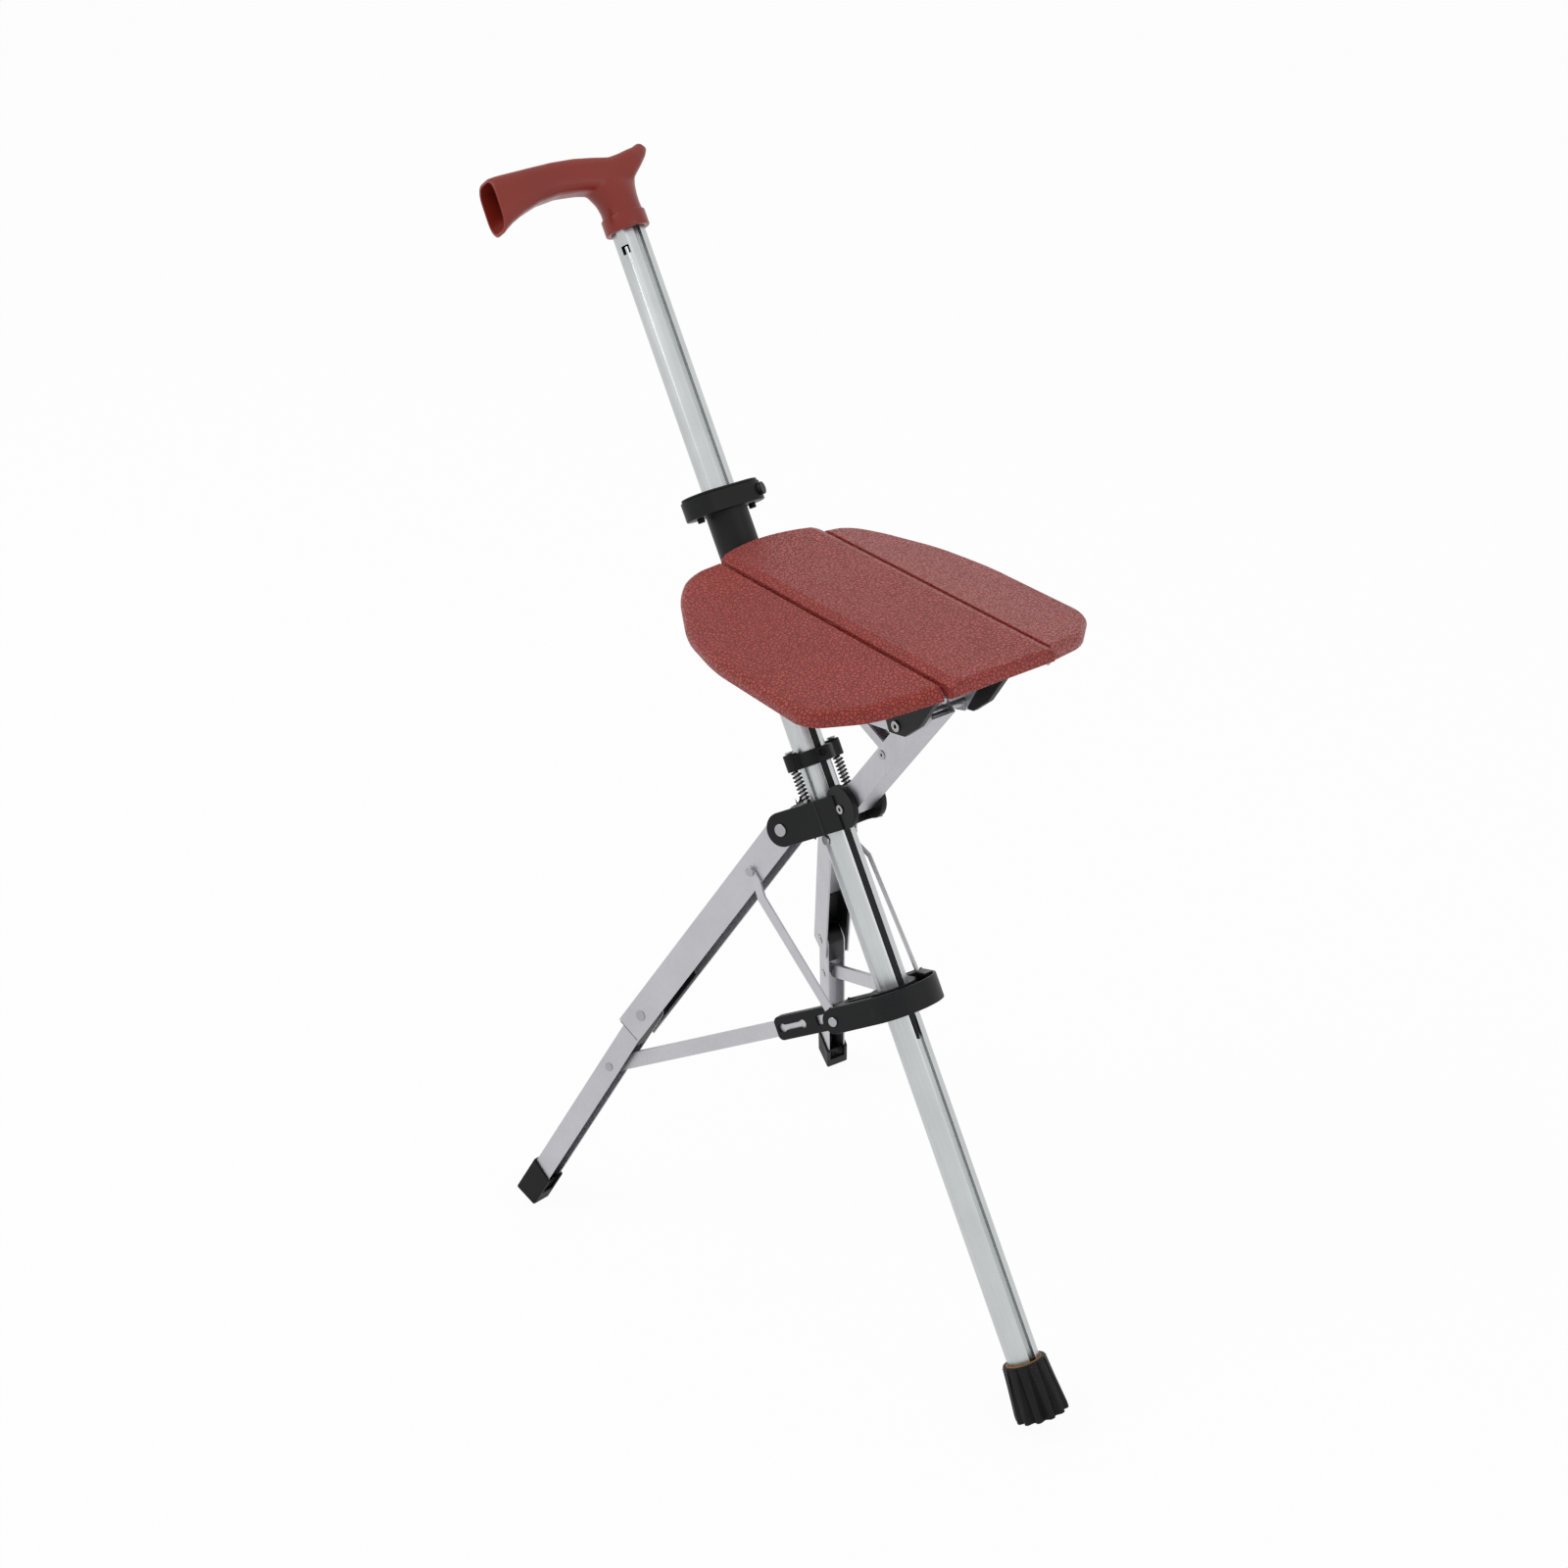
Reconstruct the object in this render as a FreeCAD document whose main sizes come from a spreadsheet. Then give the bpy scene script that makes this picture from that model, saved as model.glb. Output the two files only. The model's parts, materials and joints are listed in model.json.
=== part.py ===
"""Folding stick seat: a walking stick that opens into a three-legged stool.

Everything is in millimetres. The seat is open, as it stands in use: the stick leans back over
two legs, and a three-panel seat faces forward. World axes: +X forward, +Y to the sitter's left,
+Z up. Most pieces are drawn in the frame of the stick: x is the stick's front, y is the same as
the world's, and z runs up the stick from the middle of the ferrule's sole.
"""
import FreeCAD, Part
import Sketcher
import math
import os
from FreeCAD import Placement, Rotation, Vector

doc = FreeCAD.newDocument("stick_seat")
sheet = doc.addObject("Spreadsheet::Sheet", "Sizes")

SIZES = {
    # stance
    "lean": (33.1, "angle of the stick back from upright, degrees"),
    "splay": (21.0, "angle of each leg's swing plane from the middle plane, degrees"),
    "spread": (61.1, "angle of the open legs from the stick, degrees"),
    "knee_bend": (3.8, "angle of the lower leg inside the line of the upper leg, degrees"),
    "origin_back": (235.0, "from the sole's middle back to the origin, along the floor"),
    # stick
    "tube_od": (22.0, "stick tube, outside diameter"),
    "tube_wall": (1.5, "stick tube, wall"),
    "tube_foot": (8.0, "tube's lower end above the sole"),
    "tube_top": (842.0, "tube's upper end above the sole"),
    "groove_width": (5.0, "groove along the tube's front, width"),
    "groove_depth": (3.6, "groove, depth"),
    "catch_height": (804.5, "window below the handle, its middle above the sole"),
    "catch_turn": (62.0, "window, angle from the tube's front, degrees"),
    "running": (0.06, "radial gap of a piece that slides or turns"),
    "apart": (0.35, "gap between faces that pass each other"),
    # ferrule
    "sole_radius": (18.3, "ferrule, radius at the sole"),
    "ferrule_height": (38.0, "ferrule, height"),
    "ferrule_top_radius": (14.6, "ferrule, radius at its mouth"),
    "ferrule_floor": (8.0, "ferrule, rubber under the tube"),
    "band_wall": (1.6, "band in the ferrule's mouth, wall"),
    "band_height": (4.0, "band in the ferrule's mouth, height"),
    # handle
    "handle_foot": (817.0, "handle's lower rim above the sole"),
    "collar_radius": (14.8, "handle's lower rim, radius"),
    "collar_height": (10.5, "handle's lower rim, height"),
    "grip_reach": (91.0, "grip's open end, out from the stick"),
    "horn_reach": (33.5, "thumb horn, out from the stick"),
    "grip_wall": (2.6, "wall round the grip's open end"),
    "grip_hollow": (26.0, "depth of the grip's open end"),
    # hub
    "pivot_height": (419.7, "leg pivots above the sole, along the stick"),
    "pivot_radius": (25.8, "leg pivots behind the stick's axis, in their swing plane"),
    "leg_offset": (11.1, "leg's middle plane from the plane through the stick's axis"),
    "hub_round": (11.5, "round end of the hub's side walls, radius"),
    "hub_wall": (3.2, "hub's side walls"),
    "hub_core_radius": (15.5, "hub's sleeve round the tube, radius"),
    "strut_pivot_front": (32.0, "strut pivot in front of the stick's axis"),
    "strut_pivot_height": (1.6, "strut pivot above the leg pivots, along the stick"),
    "hub_ear": (14.5, "hub's raised ear at the strut pivot, radius"),
    "cross_pin_height": (15.8, "pin through the tube, below the leg pivots"),
    "pin_radius": (2.5, "pivot pins, radius"),
    "rivet_radius": (3.0, "leg pivot rivets, radius"),
    "rivet_head": (4.3, "leg pivot rivet heads, radius"),
    "strut_head": (3.1, "strut pivot pin, head radius"),
    "small_rivet": (1.8, "small rivets, radius"),
    "small_head": (3.1, "small rivet heads, radius"),
    # upper leg
    "upper_width": (19.0, "upper leg channel, width"),
    "upper_wall": (1.3, "upper leg channel, wall"),
    "upper_back": (11.0, "upper leg, pivot line to the web's outer face"),
    "upper_front": (10.0, "upper leg, pivot line to the open edges"),
    "knee_reach": (197.5, "leg pivot to knee rivet"),
    "upper_tail": (17.0, "upper leg beyond the knee rivet"),
    "liner_wall": (0.9, "black liner in the upper leg's lower end"),
    "liner_length": (64.0, "liner, length"),
    # lower leg
    "lower_width": (14.0, "lower leg channel, width"),
    "lower_wall": (1.2, "lower leg channel, wall"),
    "lower_depth": (16.0, "lower leg channel, depth"),
    "lower_reach": (198.0, "knee rivet to the end of the lower channel"),
    "bar_reach": (55.8, "knee rivet to the link bar's rivet"),
    "cap_wall": (1.7, "foot cap, wall round the channel"),
    "cap_length": (24.0, "foot cap, up from the channel's end"),
    "cap_ridge": (5.0, "foot cap, ridge up the channel's web"),
    # links and slider
    "lug_radius": (33.0, "ring's lug pivots behind the stick's axis, in the swing plane"),
    "lug_height": (129.2, "ring's lug pivots below the leg pivots, along the stick"),
    "link_foot": (42.0, "leg pivot to the bent link's rivet, along the leg"),
    "link_width": (6.4, "bent link, width"),
    "link_gauge": (1.8, "bent link, thickness"),
    "link_side": (15.4, "bent link's lower part, from the leg's middle plane"),
    "bar_width": (11.0, "link bar, width"),
    "bar_gauge": (3.0, "link bar, thickness"),
    "sheath_width": (16.6, "black end of the link bar, height"),
    "sheath_gauge": (7.0, "black end of the link bar, thickness"),
    "sheath_length": (60.0, "black end of the link bar, from the lug pivot"),
    "sheath_round": (4.0, "black end of the link bar, rounding of its far corners"),
    "ring_height": (17.5, "lower ring, height"),
    "ring_wall": (4.6, "lower ring, wall round the tube"),
    "lug_side": (16.7, "ring's lug, inner face from the leg's middle plane"),
    "lug_wall": (2.0, "ring's lug, wall"),
    "lug_round": (8.6, "ring's lug, round end radius"),
    "strip_top": (566.0, "black strip in the groove, upper end"),
    "strip_tip": (262.0, "black strip, pointed lower end"),
    "strip_taper": (19.0, "black strip, length of the point"),
    "strip_gauge": (3.0, "black strip, thickness"),
    # sleeve and upper collar
    "sleeve_radius": (14.0, "sleeve under the upper collar, radius"),
    "sleeve_bottom": (541.0, "sleeve, lower end above the sole"),
    "flange_bottom": (626.5, "upper collar, lower face"),
    "flange_height": (13.0, "upper collar, height"),
    "flange_round": (16.0, "upper collar, round end radius"),
    "flange_half": (28.5, "upper collar, half width"),
    "plate_gauge": (1.8, "plate on top of the upper collar"),
    "stay_pivot_front": (18.0, "stay pivot in front of the stick's axis"),
    "stay_pivot_height": (551.0, "stay pivot above the sole"),
    # spring collar
    "release_bottom": (21.8, "spring collar's lower face, above the hub"),
    "release_height": (11.5, "spring collar, height"),
    "release_half": (22.0, "spring collar, half width"),
    "release_step": (1.6, "spring collar's ends, above its middle"),
    "spring_side": (17.2, "springs, from the stick's axis"),
    "spring_front": (2.0, "springs, in front of the stick's axis"),
    "spring_radius": (3.3, "springs, outside radius"),
    "spring_wire": (0.9, "springs, wire diameter"),
    "spring_turns": (8.0, "springs, turns"),
    "rod_radius": (1.9, "spring rods, radius"),
    # seat
    "seat_height": (521.2, "seat's top above the sole's middle"),
    "seat_back": (293.9, "seat's back edge behind the sole's middle"),
    "seat_length": (222.0, "seat, front to back"),
    "seat_bow": (9.0, "bow of the middle panel's back edge"),
    "middle_half": (39.3, "middle panel, half width"),
    "middle_gauge": (13.0, "middle panel, thickness"),
    "front_lip": (9.0, "middle panel, thickness at its front end"),
    "front_slope": (9.0, "middle panel, length of the slope under its front end"),
    "front_round": (3.6, "rounding of the middle panel's front top edge"),
    "panel_skin": (3.0, "skin and rim of the moulded panels"),
    "bevel_width": (6.5, "bevel along the middle panel's sides, width"),
    "bevel_drop": (2.6, "bevel, drop"),
    "edge_round": (2.4, "rounding of the panels' top edges"),
    "wing_side": (40.0, "wing hinge lines from the middle"),
    "wing_drop": (12.5, "wing hinge lines below the seat's top"),
    "wing_droop": (11.0, "wings' slope down and out, degrees"),
    "wing_gauge": (9.4, "wing, thickness"),
    "wing_reach": (70.5, "wing, width from its hinge line"),
    "wing_gap": (0.7, "wing's inner face from its hinge line"),
    "knuckle_radius": (4.0, "hinge knuckles, radius"),
    "knuckle_length": (12.0, "hinge knuckles, length"),
    "wing_pin": (1.8, "wing hinge pins, radius"),
    "seat_pivot_x": (8.0, "seat's back hinge, forward of its back edge"),
    "seat_pivot_drop": (18.6, "seat's back hinge, below its top"),
    # strut, rail and block
    "strut_width": (18.0, "strut channel, width"),
    "strut_wall": (1.4, "strut channel, wall"),
    "strut_back": (9.3, "strut, pivot line to its open edges"),
    "strut_front": (6.6, "strut, pivot line to its web"),
    "block_x": (60.0, "strut's top pin, behind the seat's front edge"),
    "block_drop": (55.0, "strut's top pin, below the seat's top"),
    "block_half": (29.5, "block's cheeks, outer faces from the middle"),
    "cheek_wall": (5.0, "block's cheeks, thickness"),
    "rail_start": (52.0, "rail's rear end, forward of the seat's back edge"),
    "rail_end": (36.0, "rail's front end, behind the seat's front edge"),
    "rail_gauge": (1.5, "rail, thickness"),
    "stay_along": (63.0, "stay's rivet on the strut, from the strut pivot"),
    "stay_above": (4.3, "stay's rivet, off the strut's pivot line"),
    "stay_width": (9.0, "stay, width"),
    "stay_gauge": (1.3, "stay, thickness"),
    # small parts
    "catch_width": (5.6, "window below the handle, width and height"),
    "catch_slot": (2.4, "tongue in the window, distance from its side"),
    "ferrule_rim": (4.0, "ferrule, height of its straight rim"),
    "flute_count": (12, "ferrule, flutes round it"),
    "flute_depth": (3.6, "ferrule, depth of a flute at the sole"),
    "band_show": (0.4, "band in the ferrule's mouth, height above the rubber"),
    "neck_radius": (13.2, "handle's neck, radius"),
    "grip_rise": (39.5, "grip's middle above the handle's lower rim"),
    "grip_tall": (12.2, "grip, half height"),
    "grip_wide": (12.0, "grip, half width"),
    "hub_front": (22.0, "hub's side walls, straight reach in front of the stick's axis"),
    "ear_rise": (1.0, "centre of the hub's ears above the strut pivot"),
    "ear_wall": (4.2, "hub's ears, wall"),
    "rivet_root": (5.0, "leg pivot rivets, depth in the hub's middle"),
    "head_rise": (1.2, "rivet and screw heads, height"),
    "head_low": (0.6, "flush rivet heads, height"),
    "pin_head": (3.5, "heads of the cross pin and the block's rivets, radius"),
    "rod_root": (6.0, "spring rods, depth in the hub"),
    "rod_head": (2.9, "spring rods, head radius"),
    "release_wall": (4.0, "spring collar, wall round the tube"),
    "screw_radius": (1.2, "screws, radius"),
    "screw_head": (2.4, "screw heads, radius"),
    "screw_seat": (0.8, "flat seat of the collar's screw, depth"),
    "screw_drop": (3.0, "upper collar's screw ends, height below it"),
    "flange_screw": (20.5, "upper collar's screws, from the stick's axis"),
    "plate_inset": (1.0, "plate on the upper collar, inset"),
    "knob_radius": (4.2, "knob on the upper collar, radius"),
    "knob_reach": (2.6, "knob on the upper collar, reach"),
    "knob_turn": (35.0, "knob, angle from the stick's front, degrees"),
    "ear_round": (5.2, "ears and lugs of the seat's back hinge, radius"),
    "ear_half": (7.5, "sleeve's ear for the seat's back hinge, half width"),
    "lug_gauge": (4.5, "seat's lugs at its back hinge, thickness"),
    "rib_front": (20.0, "sleeve's rib for the stay, in front of the stick's axis"),
    "rib_half": (6.0, "sleeve's rib, half width"),
    "knuckle_inset": (6.0, "first and last hinge knuckles, from the seat's ends"),
    "wing_nose": (5.0, "wing's front corner, behind the seat's front edge"),
    "cell_count": (4, "hollows along each side of the middle panel"),
    "wing_corner": (34.0, "wing's outline, radius of its corners"),
    "rail_tail": (50.0, "rail's deep part, behind the top pin"),
    "rail_dip": (17.0, "rail's deep part, below the top pin"),
    "rail_screw": (8.0, "rail's screws, from its ends"),
    "cheek_back": (10.5, "block's cheeks, behind the top pin"),
    "cheek_front": (42.0, "block's cheeks, in front of the top pin"),
    "cheek_dip": (7.2, "block's cheeks, below the top pin"),
    "cheek_bridge": (10.0, "bridge between the block's cheeks, depth"),
    "stay_depth": (7.0, "stay, depth"),
    "knee_radius": (2.8, "knee rivets, radius"),
    "knee_head": (3.75, "knee rivets, head radius"),
    "knee_block": (26.0, "knee block, length past the knee rivet"),
    "liner_show": (1.5, "liner showing past the upper leg's end"),
    "bar_rivet": (2.4, "rivets at the link bar's far end, radius"),
    "bar_play": (1.0, "side play of the link bar between its rivets"),
    "cap_notch": (15.0, "foot cap, opening between its prongs, length"),
    "cap_round": (1.5, "foot cap, rounding of its long edges"),
    "hollow_share": (0.5, "bore of the tubular rivets, share of their radius"),
    "link_lift": (0.2, "bent link above the upper leg's side"),
    "link_jog": (20.0, "bent link, length of its bend and upper plate"),
    "sheath_plug": (10.0, "link bar's start in its sheath, from the lug pivot"),
    "window_start": (14.8, "sheath's window, from the lug pivot"),
    "window_length": (9.9, "sheath's window, length"),
    "window_height": (6.4, "sheath's window, height"),
    "slot_length": (17.0, "sheath's dog-bone slot, length"),
    "slot_height": (3.8, "sheath's dog-bone slot, height"),
    "slot_end": (5.5, "sheath's dog-bone slot, from its open end"),
    "ring_pin": (2.4, "ring's rivets, radius"),
    "ring_head": (3.3, "ring's rivets, head radius"),
    "ring_floor": (3.0, "lower ring, floor under its pockets"),
}


class Size:
    """A number together with the sheet formula that makes it."""

    def __init__(self, value, text):
        self.value = float(value)
        self.text = text

    def __add__(self, other):
        other = as_size(other)
        return Size(self.value + other.value, "(%s + %s)" % (self.text, other.text))

    def __sub__(self, other):
        other = as_size(other)
        return Size(self.value - other.value, "(%s - %s)" % (self.text, other.text))

    def __mul__(self, other):
        other = as_size(other)
        return Size(self.value * other.value, "(%s * %s)" % (self.text, other.text))

    def __truediv__(self, other):
        other = as_size(other)
        return Size(self.value / other.value, "(%s / %s)" % (self.text, other.text))

    def __neg__(self):
        return Size(-self.value, "(0 - %s)" % self.text)

    def __radd__(self, other):
        return as_size(other) + self

    def __rsub__(self, other):
        return as_size(other) - self

    def __rmul__(self, other):
        return as_size(other) * self


def as_size(number):
    if isinstance(number, Size):
        return number
    return Size(number, repr(float(number)))


class Sheet:
    """The spreadsheet's cells, read by name."""

    def __init__(self, sizes):
        for row, (alias, (value, note)) in enumerate(sizes.items(), start=1):
            sheet.set("A%d" % row, str(value))
            sheet.setAlias("A%d" % row, alias)
            sheet.set("B%d" % row, note)
        doc.recompute()
        for alias in sizes:
            setattr(self, alias, Size(sheet.get(alias), "Sizes." + alias))


S = Sheet(SIZES)


def bind(feature, name, size):
    """Give a feature's property a size, and tie it to the sheet."""
    size = as_size(size)
    if "." not in name:
        setattr(feature, name, size.value)
    feature.setExpression(name, size.text)


# Frames

UP = Vector(0, 0, 1)
SIDE = Vector(0, 1, 0)
LEAN = math.radians(S.lean.value)
SPLAY = math.radians(S.splay.value)
ALONG = Vector(-math.sin(LEAN), 0, math.cos(LEAN))
FRONT = Vector(math.cos(LEAN), 0, math.sin(LEAN))
SOLE = Vector(S.origin_back.value, 0, S.sole_radius.value * math.sin(LEAN))
STICK = Placement(SOLE, Rotation(FRONT, SIDE, ALONG, "ZXY"))
SEAT_CORNER = SOLE + Vector(-S.seat_back.value, 0, S.seat_height.value)
SEAT = Placement(SEAT_CORNER, Rotation())
SIDES = {"right": -1, "left": 1}


def on_stick(front, height, side=0.0):
    """A point given by its place in front of the stick's axis and up the stick."""
    return SOLE + FRONT * front + ALONG * height + SIDE * side


def outward(side):
    """Direction out of a leg's swing plane, away from the other leg and forward."""
    return FRONT * math.sin(SPLAY) + SIDE * (side * math.cos(SPLAY))


def backward(side):
    """Direction in a leg's swing plane, square to the stick and away from it."""
    return -FRONT * math.cos(SPLAY) + SIDE * (side * math.sin(SPLAY))


def in_leg_plane(side, radius, height, turn):
    """Frame in a leg's middle plane: x runs at an angle from the backward direction towards the
    stick's upper end, z is square to it in the plane, and y leaves the plane."""
    angle = math.radians(turn)
    x_axis = backward(side) * math.cos(angle) + ALONG * math.sin(angle)
    z_axis = -backward(side) * math.sin(angle) + ALONG * math.cos(angle)
    y_axis = z_axis.cross(x_axis)
    origin = SOLE + backward(side) * radius + ALONG * height + outward(side) * S.leg_offset.value
    return Placement(origin, Rotation(x_axis, y_axis, z_axis, "ZXY"))


def plane_angle(start, end):
    return math.degrees(math.atan2(end[1] - start[1], end[0] - start[0]))


def step(point, turn, length):
    """The point at a length and an angle from another, in a leg's middle plane."""
    angle = math.radians(turn)
    return (point[0] + length * math.cos(angle), point[1] + length * math.sin(angle))


LEG_TURN = S.spread.value - 90.0
LOWER_TURN = LEG_TURN - S.knee_bend.value
LEG_PIVOT = (S.pivot_radius.value, S.pivot_height.value)
KNEE = step(LEG_PIVOT, LEG_TURN, S.knee_reach.value)
LINK_PIVOT = step(LEG_PIVOT, LEG_TURN, S.link_foot.value)
BAR_PIVOT = step(KNEE, LOWER_TURN, S.bar_reach.value)
LUG_HEIGHT = S.pivot_height - S.lug_height
LUG = (S.lug_radius.value, LUG_HEIGHT.value)
LINK_TURN = plane_angle(LUG, LINK_PIVOT)
BAR_TURN = plane_angle(LUG, BAR_PIVOT)
LINK_LENGTH = math.dist(LUG, LINK_PIVOT)
BAR_LENGTH = math.dist(LUG, BAR_PIVOT)

# Strut's top pin and the stay, in the stick's front plane
BLOCK_X = S.seat_length - S.block_x
STRUT_PIVOT_HEIGHT = S.pivot_height + S.strut_pivot_height
RELEASE_BOTTOM = S.pivot_height + S.hub_round + S.release_bottom
BLOCK_POINT = SEAT_CORNER + Vector(BLOCK_X.value, 0, -S.block_drop.value)
STRUT_FOOT = on_stick(S.strut_pivot_front.value, STRUT_PIVOT_HEIGHT.value)
STRUT_VECTOR = BLOCK_POINT - STRUT_FOOT
STRUT_LENGTH = STRUT_VECTOR.Length


def front_frame(origin, direction):
    """Frame in the middle plane: x along a direction, y to the left, z up and back."""
    x_axis = Vector(direction)
    x_axis.normalize()
    return Placement(origin, Rotation(x_axis, SIDE, x_axis.cross(SIDE), "ZXY"))


STRUT_FRAME = front_frame(STRUT_FOOT, STRUT_VECTOR)
STAY_RIVET = STRUT_FRAME.multVec(Vector(S.stay_along.value, 0, S.stay_above.value))
STAY_FOOT = on_stick(S.stay_pivot_front.value, S.stay_pivot_height.value)
STAY_FRAME = front_frame(STAY_RIVET, STAY_FOOT - STAY_RIVET)
STAY_LENGTH = (STAY_FOOT - STAY_RIVET).Length


# Sketches lie on a body's own origin planes. A layer on the XY plane runs from one z to another,
# on the XZ plane from one y to another, and on the YZ plane from one x to another.

NODES = []


def keep(label, feature):
    """Count a finished piece among the part's nodes."""
    feature.Label = label
    NODES.append(feature)
    return feature


def new_body(label, frame):
    body = doc.addObject("PartDesign::Body", label)
    body.Placement = frame
    return keep(label, body)


def sketch_on(body, plane, height):
    sketch = body.newObject("Sketcher::SketchObject", body.Name + "_sketch")
    origin_plane = [face for face in body.Origin.OriginFeatures if face.Role == plane][0]
    sketch.AttachmentSupport = [(origin_plane, "")]
    sketch.MapMode = "FlatFace"
    sketch.AttachmentOffset = Placement(Vector(0, 0, height.value), Rotation())
    sketch.setExpression("AttachmentOffset.Base.z", height.text)
    return sketch


def flat(point):
    return Vector(as_size(point[0]).value, as_size(point[1]).value, 0)


def pin_point(sketch, geometry, vertex, point):
    """Tie a sketch point to its two formulas."""
    for kind, coordinate in (("DistanceX", as_size(point[0])), ("DistanceY", as_size(point[1]))):
        index = sketch.addConstraint(Sketcher.Constraint(kind, -1, 1, geometry, vertex, coordinate.value))
        if "Sizes" in coordinate.text:
            sketch.setExpression("Constraints[%d]" % index, coordinate.text)


def vertex_at(sketch, edge, point):
    """Which end of a sketch edge lies on a point: an arc may run the other way round."""
    return 1 if sketch.getPoint(edge, 1).distanceToPoint(flat(point)) < 1e-6 else 2


def outline(sketch, corners):
    """A closed outline. A corner is (x, y), or (x, y, (mid x, mid y)) where an arc leads to it."""
    edges = []
    for index, end in enumerate(corners):
        start = corners[index - 1]
        if len(end) == 3:
            curve = Part.Arc(flat(start), flat(end[2]), flat(end))
        else:
            curve = Part.LineSegment(flat(start), flat(end))
        edges.append(sketch.addGeometry(curve, False))
    for index, corner in enumerate(corners):
        edge = edges[index]
        following = edges[(index + 1) % len(corners)]
        here = vertex_at(sketch, edge, corner)
        there = vertex_at(sketch, following, corner)
        sketch.addConstraint(Sketcher.Constraint("Coincident", edge, here, following, there))
        pin_point(sketch, edge, here, corner)
        if len(corner) == 3:
            middle = sketch.addGeometry(Part.Point(flat(corner[2])), True)
            pin_point(sketch, middle, 1, corner[2])
            sketch.addConstraint(Sketcher.Constraint("PointOnObject", middle, 1, edge))


def circle(sketch, centre, radius):
    radius = as_size(radius)
    index = sketch.addGeometry(Part.Circle(flat(centre), Vector(0, 0, 1), radius.value), False)
    pin_point(sketch, index, 3, centre)
    number = sketch.addConstraint(Sketcher.Constraint("Radius", index, radius.value))
    sketch.setExpression("Constraints[%d]" % number, radius.text)


def extrude(body, kind, draw, plane, low, high):
    """A Pad that fills a layer, or a Pocket that clears it. The XZ plane's normal points to -y."""
    low, high = as_size(low), as_size(high)
    if plane == "XZ_Plane":
        low, high = -high, -low
    sketch = sketch_on(body, plane, low if kind == "Pad" else high)
    draw(sketch)
    feature = body.newObject("PartDesign::" + kind, body.Name + "_" + kind.lower())
    feature.Profile = sketch
    bind(feature, "Length", high - low)
    return feature


def add(body, corners, plane, low, high):
    return extrude(body, "Pad", lambda sketch: outline(sketch, corners), plane, low, high)


def remove(body, corners, plane, low, high):
    return extrude(body, "Pocket", lambda sketch: outline(sketch, corners), plane, low, high)


def add_disc(body, centre, radius, plane, low, high):
    return extrude(body, "Pad", lambda sketch: circle(sketch, centre, radius), plane, low, high)


def drill(body, centre, radius, plane, low, high):
    return extrude(body, "Pocket", lambda sketch: circle(sketch, centre, radius), plane, low, high)


def oblong(x_low, x_high, y_low, y_high):
    return [(x_high, y_low), (x_high, y_high), (x_low, y_high), (x_low, y_low)]


def turned(label, frame, corners):
    """A body turned about its z axis from an outline of (radius, height) corners."""
    body = new_body(label, frame)
    sketch = sketch_on(body, "XZ_Plane", as_size(0))
    outline(sketch, corners)
    feature = body.newObject("PartDesign::Revolution", body.Name + "_turned")
    feature.Profile = sketch
    feature.ReferenceAxis = (sketch, ["V_Axis"])
    feature.Angle = 360.0
    return body


def ease_edges(body, kind, size, wanted):
    """Fillet or chamfer the edges of the body so far that the test picks."""
    doc.recompute()
    base = body.Tip
    names = ["Edge%d" % number for number, edge in enumerate(base.Shape.Edges, start=1) if wanted(edge)]
    feature = body.newObject("PartDesign::" + kind, body.Name + "_edge")
    feature.Base = (base, names)
    bind(feature, "Radius" if kind == "Fillet" else "Size", size)
    return feature


# Solids from primitives, placed in a frame


def block(frame, x, y, z):
    """A box from three pairs of low and high sizes."""
    (x_low, x_high), (y_low, y_high), (z_low, z_high) = [(as_size(a), as_size(b)) for a, b in (x, y, z)]
    feature = doc.addObject("Part::Box", "block")
    bind(feature, "Length", x_high - x_low)
    bind(feature, "Width", y_high - y_low)
    bind(feature, "Height", z_high - z_low)
    feature.Placement = frame.multiply(Placement(Vector(x_low.value, y_low.value, z_low.value), Rotation()))
    return feature


AXIS_TURNS = {"x": Rotation(Vector(0, 1, 0), 90), "y": Rotation(Vector(1, 0, 0), -90), "z": Rotation()}


def rod(frame, axis, centre, radius, low, high):
    """A cylinder along an axis. Its centre is given in the other two axes, in order."""
    low, high = as_size(low), as_size(high)
    first, second = as_size(centre[0]).value, as_size(centre[1]).value
    places = {"x": Vector(low.value, first, second), "y": Vector(first, low.value, second),
              "z": Vector(first, second, low.value)}
    feature = doc.addObject("Part::Cylinder", "rod")
    bind(feature, "Radius", radius)
    bind(feature, "Height", high - low)
    feature.Placement = frame.multiply(Placement(places[axis], AXIS_TURNS[axis]))
    return feature


def joined(*pieces):
    if len(pieces) == 1:
        return pieces[0]
    feature = doc.addObject("Part::MultiFuse", "joined")
    feature.Shapes = list(pieces)
    feature.Refine = True
    return feature


def without(base, *tools):
    feature = doc.addObject("Part::Cut", "trimmed")
    feature.Base = base
    feature.Tool = joined(*tools)
    feature.Refine = True
    return feature


def group(*pieces):
    """Identical pieces that share a node but stay separate solids."""
    feature = doc.addObject("Part::Compound", "group")
    feature.Links = list(pieces)
    return feature


# Stick


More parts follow.
